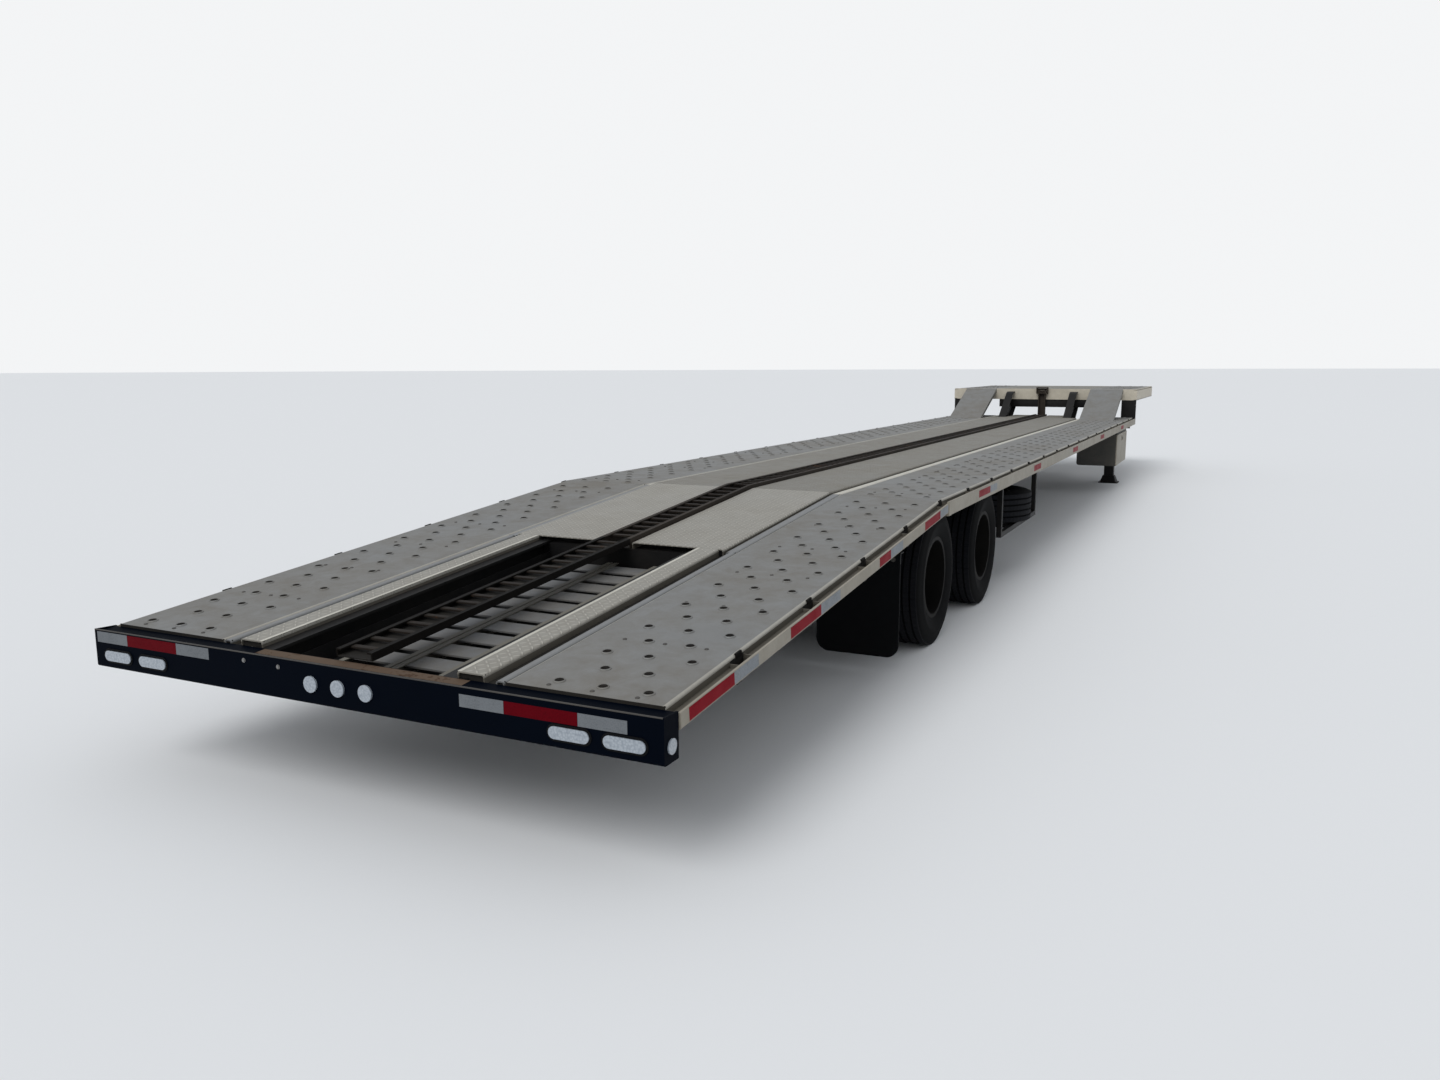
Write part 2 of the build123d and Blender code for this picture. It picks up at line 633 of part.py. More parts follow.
def stowed_ramps():
    """Two ladder ramps lying side by side in the tray of the well."""
    start = WELL_REAR + RAMP_REAR_CLEAR
    low = -RAMP_TOP_DROP - RAMP_DEPTH
    count = int((RAMP_LONG - RUNG_WIDE) / RUNG_PITCH) + 1
    first = start + (RAMP_LONG - (count - 1) * RUNG_PITCH) / 2
    inner, outer = RAMP_GAP / 2, RAMP_GAP / 2 + RAMP_WIDE
    bar = channel(RAMP_DEPTH, RAMP_BAR, RAMP_SHEET)
    ramp = along(Pos(inner, -RAMP_TOP_DROP) * bar, start, start + RAMP_LONG)
    ramp += along(Pos(outer, -RAMP_TOP_DROP) * mirror(bar, Plane.YZ), start, start + RAMP_LONG)
    rung_top = -RAMP_TOP_DROP - RAMP_SHEET
    rung = box(
        inner + RAMP_SHEET, outer - RAMP_SHEET, -RUNG_WIDE / 2, RUNG_WIDE / 2, rung_top - RUNG_THICK, rung_top
    )
    for k in range(count):
        ramp += Pos(0, first + k * RUNG_PITCH, 0) * rung
    edge = BEAM_OFFSET - BEAM_FLANGE / 2
    wall = edge - TRAY_THICK
    floor, rise = low - TRAY_THICK, low + TRAY_WALL
    pan = outline((-edge, rise), (-edge, floor), (edge, floor), (edge, rise))
    pan -= outline((-wall, rise + CUT), (-wall, low), (wall, low), (wall, rise + CUT))
    tray = along(pan, WELL_REAR, WELL_FRONT)
    tray += box(-edge, edge, WELL_REAR, WELL_REAR + TRAY_THICK, floor, rise)
    tray += box(-edge, edge, WELL_FRONT - TRAY_THICK, WELL_FRONT, floor, -MEMBER_DROP)
    return {"loading_ramps": both_sides(on_tail(ramp)), "ramp_tray": [on_tail(tray)]}


def upper_deck():
    start, stop = LEVEL_END + UPPER_FLANGE, FRAME_LENGTH - UPPER_FLANGE
    lift = Location(place(0, UPPER_TOP))
    runway = lift * along(folded(RUNWAY_IN, RUNWAY_OUT, 0, PLANK_DEPTH, PLANK_DEPTH), start, stop)
    centre = lift * along(folded(-CENTRE_HALF, CENTRE_HALF, 0, PLANK_DEPTH, PLANK_DEPTH), start, stop)
    return {"gooseneck": necks, "upper_runways": both_sides(runway), "upper_centre_plate": [centre]}


def step_between_decks():
    """Climbing plates on the level deck, and the closed outer panels of the step."""
    foot = LEVEL_END - CLIMB_RUN
    angle = atan2(UPPER_TOP - LEVEL_TOP, CLIMB_RUN)
    drop, thin = CLIMB_DEPTH / cos(angle), PLATE_THICK / cos(angle)
    level, tip = LEVEL_TOP, LEVEL_END - CLIMB_TIP
    side = outline(
        (foot, level), (LEVEL_END, UPPER_TOP), (LEVEL_END, UPPER_TOP - drop), (foot + drop / tan(angle), level)
    )
    heel = foot + 2 * thin / tan(angle)
    core = outline(
        (heel, level - CUT), (heel, level + thin), (tip, UPPER_TOP - thin - CLIMB_TIP * tan(angle)),
        (tip, UPPER_TOP - 2 * drop), (foot + 2 * drop / tan(angle), level - CUT),
    )
    near = RUNWAY_IN + CLIMB_CLEAR
    out = near + CLIMB_WIDE
    ramp = across(side, near, out) - across(core, near + PLATE_THICK, out - PLATE_THICK)
    low, high = PLANK_BOTTOM, UPPER_TOP - UPPER_BEAM_DEPTH
    t, inner = STEP_PLATE_THICK, RAIL_IN - STEP_PLATE_WIDE
    panel = box(inner, RAIL_IN, 0, t, low, high)
    panel += box(RAIL_IN - t, RAIL_IN, 0, STEP_POST, low, high)
    panel += box(inner, inner + t, 0, STEP_POST, low, high)
    return {"climb_ramps": both_sides(ramp), "step_panels": both_sides(Location(place(LEVEL_END)) * panel)}


def coupling():
    """Pickup plate under the neck, the kingpin seated in its hole, and the couplings on the nose."""
    pin = FRAME_LENGTH - KINGPIN_SETBACK
    top = COUPLER_FACE + COUPLER_THICK
    plate = box(-COUPLER_HALF, COUPLER_HALF, pin - COUPLER_AFT, pin + COUPLER_FORE, COUPLER_FACE, top)
    plate = fillet(plate.edges().filter_by(Axis.Z), COUPLER_CORNER)
    plate -= Pos(0, pin, top) * Cylinder(KINGPIN_COLLAR_R + KINGPIN_FIT, 4 * COUPLER_THICK)
    rings = [(0, COUPLER_THICK + KINGPIN_FLANGE), (KINGPIN_FLANGE_R, COUPLER_THICK + KINGPIN_FLANGE)]
    rings += [(KINGPIN_FLANGE_R, COUPLER_THICK), (KINGPIN_COLLAR_R, COUPLER_THICK)]
    neck = -KINGPIN_COLLAR
    foot = neck - KINGPIN_NECK
    end = foot - KINGPIN_FOOT
    rings += [(KINGPIN_COLLAR_R, neck), (KINGPIN_NECK_R, neck), (KINGPIN_NECK_R, foot), (KINGPIN_FOOT_R, foot)]
    rings += [(KINGPIN_FOOT_R, end), (0, end)]
    kingpin = Location(place(pin, COUPLER_FACE)) * revolve(Plane.XZ * outline(*rings), Axis.Z, 360)
    nose = Plane(origin=place(FRAME_LENGTH), x_dir=(-1, 0, 0), z_dir=(0, 1, 0))
    height = UPPER_TOP - UPPER_BEAM_DEPTH / 2
    handle = RectangleRounded(2 * HOSE_RADIUS, HOSE_RADIUS, HOSE_CORNER)
    heads = []
    for x in (-HOSE_OFFSET, HOSE_OFFSET):
        spot = nose * Pos(x, height)
        head = extrude(spot * Circle(HOSE_RADIUS), amount=COUPLING_REACH)
        heads.append(head + extrude(spot * Pos(HOSE_RADIUS, 0) * handle, amount=COUPLING_REACH / 2))
    spot = nose * Pos(0, height)
    socket = extrude(spot * Circle(SOCKET_RADIUS + SOCKET_WALL), amount=COUPLING_REACH)
    bore = Pos(0, 0, COUPLING_REACH - SOCKET_DEPTH) * Circle(SOCKET_RADIUS)
    socket -= extrude(spot * bore, amount=SOCKET_DEPTH + CUT)
    plate = Location(place(0)) * plate
    return {"coupler_plate": [plate], "kingpin": [kingpin], "hose_couplings": heads, "lamp_socket": [socket]}


def axles():
    """Round axle beams with spindles and backing plates, and the brake chambers behind them."""
    sideways = Rot(0, 90, 0)
    plate_in = DRUM_INNER - BACKING_GAP - BACKING_THICK
    beam = sideways * Cylinder(AXLE_RADIUS, 2 * plate_in)
    beam += sideways * Cylinder(SPINDLE_RADIUS, 2 * (DUAL_CENTRE + SPINDLE_REACH))
    backing = sideways * Cylinder(BACKING_RADIUS, BACKING_THICK)
    for sign in (-1, 1):
        beam += Pos(sign * (plate_in + BACKING_THICK / 2), 0, 0) * backing
    drum_end = (Align.CENTER, Align.CENTER, Align.MIN)
    pot = Rot(90, 0, 0) * Cylinder(CHAMBER_RADIUS, CHAMBER_LONG, align=drum_end)
    pot = chamfer(pot.edges().filter_by(GeomType.CIRCLE).sort_by(Axis.Y)[0], CHAMBER_ROUND)
    pot += Pos(0, CHAMBER_BRACKET / 2, 0) * Box(CHAMBER_RADIUS, CHAMBER_BRACKET, CHAMBER_RADIUS)
    pot = Pos(CHAMBER_OFFSET, -AXLE_RADIUS - CHAMBER_BRACKET, 0) * pot
    spots = [Location(place(s, TYRE_RADIUS)) for s in (REAR_AXLE, FRONT_AXLE)]
    chambers = [spot * piece for spot in spots for piece in both_sides(pot)]
    return {"axles": [spot * beam for spot in spots], "brake_chambers": chambers}


def leaf_pack(s, low):
    """Leaves bent up at their ends, the longest on top, over the axle at station s."""
    pack = None
    for (k, half) in enumerate(reversed(LEAF_HALVES)):
        rise = LEAF_CAMBER * (half / LEAF_HALVES[0]) ** 2
        base = low + k * LEAF_THICK
        top = base + LEAF_THICK
        under = ThreePointArc((s - half, base + rise), (s, base), (s + half, base + rise))
        over = ThreePointArc((s - half, top + rise), (s, top), (s + half, top + rise))
        face = make_face([under, over, Line(under @ 0, over @ 0), Line(under @ 1, over @ 1)])
        leaf = across(face, BEAM_OFFSET - LEAF_WIDE / 2, BEAM_OFFSET + LEAF_WIDE / 2)
        pack = leaf if pack is None else pack + leaf
    return pack


def suspension():
    """Leaf springs over the axles, their seats, hangers and equalisers."""
    low = TUBE_TOP + SPRING_SEAT
    half = LEAF_WIDE / 2 + SEAT_SIDE
    seat = box(-half, half, -SEAT_LONG / 2, SEAT_LONG / 2, TUBE_TOP - SEAT_WRAP, low)
    seat -= Pos(0, 0, TYRE_RADIUS) * Rot(0, 90, 0) * Cylinder(AXLE_RADIUS + SEAT_FIT, 4 * half)
    springs, seats, hangers = [], [], []
    for s in (REAR_AXLE, FRONT_AXLE):
        springs += both_sides(leaf_pack(s, low))
        seats += both_sides(Location(place(s, 0, BEAM_OFFSET)) * seat)
    reach = LEAF_HALVES[0]
    leaf_top = low + len(LEAF_HALVES) * LEAF_THICK + LEAF_CAMBER
    leaf_end = leaf_top - LEAF_THICK - HANGER_REACH
    inner, outer = BEAM_OFFSET - HANGER_WIDE / 2, BEAM_OFFSET + HANGER_WIDE / 2
    places = (
        (REAR_AXLE - reach, HANGER_LONG),
        ((REAR_AXLE + FRONT_AXLE) / 2, EQUALISER_LONG),
        (FRONT_AXLE + reach, HANGER_LONG),
    )
    for (s, long) in places:
        back, fore = s - long / 2, s + long / 2
        tail, nose = back - HANGER_FLARE, fore + HANGER_FLARE
        side = outline((tail, beam_bottom(tail)), (nose, beam_bottom(nose)), (fore, leaf_end), (back, leaf_end))
        pad = outline((back, leaf_top), (fore, leaf_top), (fore, beam_bottom(fore)), (back, beam_bottom(back)))
        hanger = across(side, inner, inner + HANGER_CHEEK) + across(side, outer - HANGER_CHEEK, outer)
        hangers += both_sides(hanger + across(pad, inner, outer))
    return {"leaf_springs": springs, "spring_seats": seats, "spring_hangers": hangers}


def tyre(x):
    """Tyre of revolution about the X axis, centred at x."""
    w, r = TYRE_WIDTH / 2, TYRE_RADIUS
    bead = RIM_RADIUS + BEAD_CLEARANCE
    low, high = (r + RIM_RADIUS) / 2 - TYRE_FLAT_LOW, (r + RIM_RADIUS) / 2 + TYRE_FLAT_HIGH
    half = [
        (RIM_HALF - RIM_LIP, bead), (RIM_HALF, bead + RIM_LIP), (w, low), (w, high),
        (w - TYRE_SHOULDER, r - TYRE_DROP), (w - TYRE_EDGE, r),
    ]
    points = half + [(-a, b) for (a, b) in reversed(half)]
    return revolve(outline(*[(x + a, b) for (a, b) in points]), Axis.X, 360)


def wheel_core():
    """Both rims of a twin wheel with their dished discs, hub and brake drum, turned about X."""
    c, off, w = DUAL_CENTRE, DUAL_SPACING / 2, RIM_HALF
    r, lip, t = RIM_RADIUS, RIM_LIP, RIM_SHEET
    bore = SPINDLE_RADIUS + SPINDLE_CLEARANCE
    end = c + SPINDLE_REACH + END_CLEARANCE
    cap, hub = c + HUB_CAP_REACH, c + HUB_REACH
    points = (
        (DRUM_INNER, bore), (end, bore), (end, 0), (cap, 0), (cap, HUB_CAP_RADIUS), (hub, HUB_CAP_RADIUS),
        (hub, HUB_RADIUS), (c + DISC_THICK, HUB_RADIUS), (c + DISC_THICK, DISC_RADIUS), (c + off, r - RIM_DROP),
        (c + off + w, r - t), (c + off + w, r + lip), (c + off + w - lip, r), (c + off - w, r),
        (c, DISC_RADIUS + DISC_THICK), (c - off + w, r), (c - off - w + lip, r), (c - off - w, r + lip),
        (c - off - w, r - t), (c - DISC_THICK, r - RIM_DROP),
        (c - DISC_THICK, DRUM_RADIUS), (DRUM_INNER, DRUM_RADIUS),
    )
    return revolve(outline(*points), Axis.X, 360)


def wheels():
    pair = [tyre(DUAL_CENTRE + k * DUAL_SPACING / 2) for k in (-1, 1)]
    core = wheel_core()
    nodes = {}
    for (name, s) in (("rear", REAR_AXLE), ("front", FRONT_AXLE)):
        spot = Location(place(s, TYRE_RADIUS))
        nodes[f"tyres_{name}_right"] = [spot * piece for piece in pair]
        nodes[f"wheel_{name}_right"] = [spot * core]
        nodes[f"tyres_{name}_left"] = [spot * mirrored(piece) for piece in pair]
        nodes[f"wheel_{name}_left"] = [spot * mirrored(core)]
    return nodes


def landing_legs():
    """Square tubes with plates and gear boxes, sliding feet, braces to the beams and the cross shaft."""
    top = PLANK_BOTTOM - ARM_ROOT_DEPTH
    half, bore = LEG_OUTER / 2, LEG_OUTER - 2 * LEG_WALL
    tube = RectangleRounded(LEG_OUTER, LEG_OUTER, LEG_CORNER)
    tube -= RectangleRounded(bore, bore, LEG_CORNER - LEG_WALL)
    leg = Pos(0, 0, LEG_OUTER_BOTTOM) * extrude(tube, amount=top - LEG_OUTER_BOTTOM)
    cap = RectangleRounded(LEG_PLATE_LONG, LEG_PLATE_WIDE, LEG_CORNER)
    leg += Pos(0, 0, top - LEG_PLATE_THICK) * extrude(cap, amount=LEG_PLATE_THICK)
    gear = box(
        LEG_WALL / 2 - half, -half - GEAR_DEEP, -GEAR_LONG / 2, GEAR_LONG / 2,
        SHAFT_HEIGHT - GEAR_TALL / 2, SHAFT_HEIGHT + GEAR_TALL / 2,
    )
    leg += fillet(gear.edges().filter_by(Axis.X), GEAR_ROUND)
    width = bore - 2 * LEG_CLEARANCE
    collar, step = width + 2 * SHOE_COLLAR, 2 * SHOE_HALF - 2 * SHOE_STEP
    foot = extrude(RectangleRounded(2 * SHOE_HALF, 2 * SHOE_HALF, SHOE_CORNER), amount=SHOE_PLATE)
    foot += loft([
        Pos(0, 0, SHOE_PLATE) * RectangleRounded(step, step, SHOE_CORNER - LEG_WALL),
        Pos(0, 0, SHOE_RISE) * RectangleRounded(collar, collar, LEG_CORNER),
    ])
    stem = RectangleRounded(width, width, STEM_CORNER)
    foot += Pos(0, 0, SHOE_PLATE) * extrude(stem, amount=LEG_OUTER_BOTTOM + STEM_LAP - SHOE_PLATE)
    side = Location(place(LEG_STATION, 0, LEG_OFFSET))
    shaft_half = LEG_OFFSET - half - GEAR_DEEP
    shaft = Location(place(LEG_STATION, SHAFT_HEIGHT)) * Rot(0, 90, 0) * Cylinder(SHAFT_RADIUS, 2 * shaft_half)
    face, low, b = LEG_OFFSET - half, LEG_OUTER_BOTTOM + BRACE_RAISE, BRACE_WIDE
    strut = outline((face, low), (face, low + b), (BEAM_EDGE, BEAM_BOTTOM), (BEAM_EDGE - b, BEAM_BOTTOM))
    brace = Location(place(LEG_STATION)) * along(strut, -half, b - half)
    return {
        "landing_legs": both_sides(side * leg),
        "landing_feet": both_sides(side * foot),
        "leg_bracing": both_sides(brace) + [shaft],
    }


def toolbox():
    """Hollow toolbox under the right rail, with a drop-down door hinged along its bottom edge."""
    top, w = RAIL_BOTTOM, BOX_WALL
    shell_out = BOX_OUT - DOOR_THICK
    front = BOX_REAR + BOX_LONG
    section = outline((BOX_IN, BOX_BOTTOM), (shell_out, BOX_BOTTOM), (shell_out, top), (BOX_IN, top))
    section = rounded(section, [(BOX_IN, BOX_BOTTOM)], BOX_BEND)
    inner, floor, mouth = BOX_IN + w, BOX_BOTTOM + w, shell_out + CUT
    inside = outline((inner, floor), (mouth, floor), (mouth, top - w), (inner, top - w))
    inside = rounded(inside, [(inner, floor)], BOX_BEND - w)
    body = along(section, BOX_REAR, front) - along(inside, BOX_REAR + w, front - w)
    g = DOOR_GAP
    door = box(shell_out + DOOR_SEAT, BOX_OUT, BOX_REAR + g, front - g, BOX_BOTTOM + g, top - g)
    door = fillet(door.edges().filter_by(Axis.X), DOOR_CORNER)
    middle, half = BOX_REAR + BOX_LONG / 2, LATCH_LONG / 2
    latch_top = top - LATCH_DROP
    door += box(BOX_OUT, BOX_OUT + LATCH_PROUD, middle - half, middle + half, latch_top - LATCH_TALL, latch_top)
    frame = Location(place(0))
    return {"toolbox_right": [frame * body], "toolbox_door_right": [frame * door]}


def spare_wheel():
    """Spare lying flat in a basket hung from the outriggers."""
    station = spare_pocket + CHANNEL_FLANGE / 2
    spot = Location(place(station, SPARE_BOTTOM + TYRE_WIDTH / 2, SPARE_OFFSET)) * Rot(0, 90, 0)
    w, r, lip, t = RIM_HALF, RIM_RADIUS, RIM_LIP, RIM_SHEET
    face, back = w, w + DISC_THICK
    points = (
        (-w, r + lip), (lip - w, r), (w - lip, r), (w, r + lip), (w, r), (back, DISC_RADIUS),
        (back, HUB_HOLE_RADIUS), (face, HUB_HOLE_RADIUS), (face, DISC_RADIUS), (w - lip, r - t), (-w, r - t),
    )
    rim = revolve(outline(*points), Axis.X, 360)
    b, low = CARRIER_BAR, SPARE_BOTTOM
    reach = POCKET_PITCH + CHANNEL_FLANGE / 2
    back, fore = station - reach, station + reach
    left, right = SPARE_OFFSET - CARRIER_HALF, SPARE_OFFSET + CARRIER_HALF
    basket = None
    for x in (left, right):
        near, far = x - b / 2, x + b / 2
        bar = box(near, far, back, fore, low - b, low)
        bar += box(near, far, back, back + b, low - b, arm_underside(near))
        bar += box(near, far, fore - b, fore, low - b, arm_underside(near))
        basket = bar if basket is None else basket + bar
    for y in (station - CARRIER_HALF / 2, station + CARRIER_HALF / 2):
        basket += box(left, right, y - b / 2, y + b / 2, low - b, low)
    basket = Location(place(0)) * basket
    return {"spare_tyre": [spot * tyre(0)], "spare_rim": [spot * rim], "spare_carrier": [basket]}


def mud_flaps():
    half = FLAP_WIDE / 2
    tall = FLAP_TOP - FLAP_BOTTOM
    flap = outline((-half, 0), (half, 0), (half, tall), (-half, tall))
    flap = rounded(flap, [(-half, 0), (half, 0)], FLAP_CORNER)
    flap = along(Pos(FLAP_CENTRE, FLAP_BOTTOM) * flap, FLAP_STATION - FLAP_THICK, FLAP_STATION)
    long, tall, t = FLAP_BAR_LONG, FLAP_BAR_TALL, FLAP_BAR_THICK
    angle = outline((0, 0), (long, 0), (long, -t), (t, -t), (t, -tall), (0, -tall))
    plane = Plane(origin=(ARM_ROOT, FLAP_STATION, FLAP_TOP + t), x_dir=(0, 1, 0), z_dir=(1, 0, 0))
    bar = extrude(plane * angle, amount=FLAP_CENTRE + half - ARM_ROOT)
    frame = Location(place(0))
    return {"mud_flaps": both_sides(frame * flap), "flap_hangers": both_sides(frame * bar)}


parts = {}
for build in (
    runways, centre_deck, centre_track, main_beams, crossmembers, outriggers, side_rails, rear_sill,
    stowed_ramps, upper_deck, step_between_decks, coupling, axles, suspension, wheels,
    landing_legs, toolbox, spare_wheel, mud_flaps,
):
    parts.update(build())

os.makedirs("parts", exist_ok=True)
for (name, pieces) in parts.items():
    solids = [solid for piece in pieces for solid in piece.solids()]
    export_step(Compound(children=solids) if len(solids) > 1 else solids[0], f"parts/{name}.step")
print(len(parts), "nodes written")
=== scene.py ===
"""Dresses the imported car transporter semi-trailer and sets it in a plain studio."""
from functools import cache, partialmethod
from math import atan2, ceil, cos, pi, radians, sin, sqrt

import bmesh
import bpy
from bpy.props import FloatProperty, FloatVectorProperty, IntProperty, PointerProperty
from bpy.types import Operator, Panel, PropertyGroup
from mathutils import Matrix, Vector


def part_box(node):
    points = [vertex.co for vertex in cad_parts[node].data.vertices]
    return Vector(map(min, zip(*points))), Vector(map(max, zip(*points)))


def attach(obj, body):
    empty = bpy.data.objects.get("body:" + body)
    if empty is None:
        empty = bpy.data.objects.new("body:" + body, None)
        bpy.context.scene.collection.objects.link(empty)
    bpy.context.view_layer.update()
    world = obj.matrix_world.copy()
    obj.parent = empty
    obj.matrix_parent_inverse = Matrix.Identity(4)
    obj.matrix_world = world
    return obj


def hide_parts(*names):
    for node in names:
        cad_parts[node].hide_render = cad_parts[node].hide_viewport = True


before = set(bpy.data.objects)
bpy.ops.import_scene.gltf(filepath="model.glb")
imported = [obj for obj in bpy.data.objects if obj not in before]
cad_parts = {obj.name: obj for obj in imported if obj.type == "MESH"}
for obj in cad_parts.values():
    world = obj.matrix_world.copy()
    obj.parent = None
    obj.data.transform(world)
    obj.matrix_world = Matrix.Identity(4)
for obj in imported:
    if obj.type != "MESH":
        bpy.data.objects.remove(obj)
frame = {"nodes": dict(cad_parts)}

bl_info = {
    "name": "Car Transporter Trailer",
    "version": (1, 0, 0),
    "blender": (4, 5, 0),
    "location": "3D View > Sidebar > Trailer",
    "description": "Finishes a car transporter semi-trailer: pierced runways, tyres, lamps, tape and paint",
    "category": "Object",
}

# Sizes are in metres. Heights are above the ground, and places along the trailer count from its rear face.
NODES = frame["nodes"]
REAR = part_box("rear_sill")[0].y
SILL_TOP = 0.584
LEVEL_TOP = 0.864
UPPER_TOP = 1.257
TAIL_RUN = 3.270
SLOPE = atan2(LEVEL_TOP - SILL_TOP, TAIL_RUN)
TAIL_LONG = sqrt((LEVEL_TOP - SILL_TOP) ** 2 + TAIL_RUN ** 2)
SILL_LIP = 0.082
DECK_JOINT = 0.002
TAIL_STOP = TAIL_LONG - DECK_JOINT
LEVEL_START = TAIL_RUN + DECK_JOINT
LEVEL_END = 13.716
AXLES = {"rear": 3.410, "front": 4.629}
TYRE_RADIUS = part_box("tyres_rear_right")[1].z / 2

# A piece is drawn with its deck's top at Z = 0 and the rear face at Y = 0, and one of these lays it in place.
TAIL = Matrix.Translation((0, REAR, SILL_TOP)) @ Matrix.Rotation(SLOPE, 4, "X")
LEVEL = Matrix.Translation((0, REAR, LEVEL_TOP))
UPPER = Matrix.Translation((0, REAR, UPPER_TOP))
MIRROR = Matrix.Scale(-1, 4, (1, 0, 0))


def colour(name, text, value):
    return FloatVectorProperty(name=name, description=text, subtype="COLOR", size=3, min=0, max=1, default=value)


def length(name, text, value):
    return FloatProperty(name=name, description=text, default=value, min=0, unit="LENGTH", precision=4)


def angle(name, text, value):
    return FloatProperty(name=name, description=text, default=value, subtype="ANGLE")


def number(name, text, value, low, high):
    return IntProperty(name=name, description=text, default=value, min=low, max=high)


class TrailerPaint(PropertyGroup):
    galvanised: colour("Galvanised", "Zinc of the runways and climbing plates", (0.229, 0.231, 0.227))
    # Painted highlight: the bright zinc along the plank bends.
    edge: colour("Highlighted edges", "Bright zinc of the worn plank edges and lips", (0.42, 0.405, 0.36))
    band: colour("Smooth band", "Smooth strip between the chequer plate and the runway", (0.240, 0.247, 0.252))
    deck: colour("Deck plate", "Chequer plate beside the track", (0.215, 0.205, 0.180))
    rail: colour("Rails", "Beige paint of the rails and the upper deck's frame", (0.30, 0.275, 0.225))
    track: colour("Track", "Dark brown paint of the centre track", (0.026, 0.020, 0.016))
    frame: colour("Frame", "Black paint of the frame", (0.005, 0.005, 0.0055))
    sill: colour("Rear sill", "Blue-black paint of the rear cross plate", (0.0006, 0.0018, 0.0048))
    rust: colour("Rust", "Rust where paint has gone", (0.050, 0.024, 0.012))
    dirt: colour("Dirt", "Dried road dirt", (0.15, 0.13, 0.10))
    ramp: colour("Ramp rungs", "Dull zinc of the stowed ramps", (0.17, 0.175, 0.18))
    tape_red: colour("Red tape", "Red reflecting tape", (0.230, 0.0015, 0.010))
    tape_white: colour("White tape", "White reflecting tape", (0.26, 0.28, 0.30))


class TrailerDeck(PropertyGroup):
    row_pitch: length("Row pitch", "Distance between rows of holes along the runway", 0.147)
    column_pitch: length("Column pitch", "Distance between columns of holes across the runway", 0.0835)
    first_column: length("First column", "Distance of the innermost column from the centre line", 0.817)
    hole: length("Hole radius", "Radius of a hole in the runway", 0.0155)
    rim: length("Rim", "Thickness of the pressed rim round a hole", 0.0034)
    sheet: length("Sheet", "Thickness of the runway sheet", 0.005)
    chequer: length("Chequer pitch", "Distance between lugs of the chequer plate", 0.030)


class TrailerTyres(PropertyGroup):
    ribs: number("Ribs", "Ribs across the tread", 5, 3, 8)
    groove: length("Groove", "Width of a groove between two ribs", 0.013)
    depth: length("Tread depth", "Depth of the grooves", 0.014)
    pitches: number("Tread blocks", "Blocks round each rib", 64, 16, 120)
    studs: number("Wheel nuts", "Nuts on each wheel", 10, 4, 12)


class TrailerStudio(PropertyGroup):
    position: FloatVectorProperty(name="Position", description="Place of the camera", subtype="TRANSLATION", size=3,
                                  default=(2.787, -10.7755, 1.6066))
    yaw: angle("Yaw", "Turn of the camera to the left of straight ahead", 0.4553)
    pitch: angle("Pitch", "Tilt of the camera below level", 0.1593)
    roll: angle("Roll", "Turn of the camera about its own line of sight", -0.0032)
    lens: FloatProperty(name="Lens", description="Focal length on a 36 mm wide sensor", subtype="DISTANCE_CAMERA",
                        default=27.14)
    floor: colour("Floor", "Colour of the studio floor", (0.78, 0.79, 0.80))
    sky: FloatProperty(name="Sky light", description="Strength of the even light from all round", default=0.62, min=0)
    lamp: FloatProperty(name="Soft lamp", description="Strength of the soft lamp overhead", default=1.5, min=0)


# Mesh helpers. A finish is given by its name in FINISHES.

FINISHES = {}


def placed(name, data):
    """New object in the scene, around a mesh, a lamp or a camera."""
    obj = bpy.data.objects.new(name, data)
    bpy.context.scene.collection.objects.link(obj)
    return obj


def from_bmesh(bm, finish=None, smooth=None, name="part"):
    """Turns a bmesh into an object, shaded smooth below an angle where one is given."""
    bmesh.ops.recalc_face_normals(bm, faces=bm.faces)
    mesh = bpy.data.meshes.new(name)
    bm.to_mesh(mesh)
    bm.free()
    if smooth is not None:
        mesh.shade_smooth()
        mesh.set_sharp_from_angle(angle=radians(smooth))
    if finish:
        mesh.materials.append(FINISHES[finish])
    return placed(name, mesh)


def drop(obj):
    """Takes an object away with its mesh."""
    mesh = obj.data
    bpy.data.objects.remove(obj)
    bpy.data.meshes.remove(mesh)


def joined(name, parts):
    """One object from several, with their materials kept; the several are taken away."""
    bm = bmesh.new()
    materials = []
    for part in parts:
        start = len(bm.faces)
        places = []
        for material in part.data.materials:
            if material not in materials:
                materials.append(material)
            places.append(materials.index(material))
        bm.from_mesh(part.data)
        bm.faces.ensure_lookup_table()
        for face in bm.faces[start:]:
            face.material_index = places[face.material_index] if places else 0
        drop(part)
    mesh = bpy.data.meshes.new(name)
    bm.to_mesh(mesh)
    bm.free()
    for material in materials:
        mesh.materials.append(material)
    return placed(name, mesh)


def moved(obj, matrix):
    """Moves or mirrors the mesh of an object, with its faces still outward."""
    obj.data.transform(matrix)
    if matrix.determinant() < 0:
        obj.data.flip_normals()
    return obj


def mirrored(obj):
    """Copy of an object on the other side of the trailer."""
    return moved(placed(obj.name, obj.data.copy()), MIRROR)


def both_sides(name, matrix, parts):
    """Joins parts drawn on the right half, mirrors them and lays both on a deck."""
    right = joined(name, parts)
    return moved(joined(name, [right, mirrored(right)]), matrix)


def bar(x0, x1, z0, z1):
    """Oblong section for a prism."""
    return [(x0, z0), (x0, z1), (x1, z1), (x1, z0)]


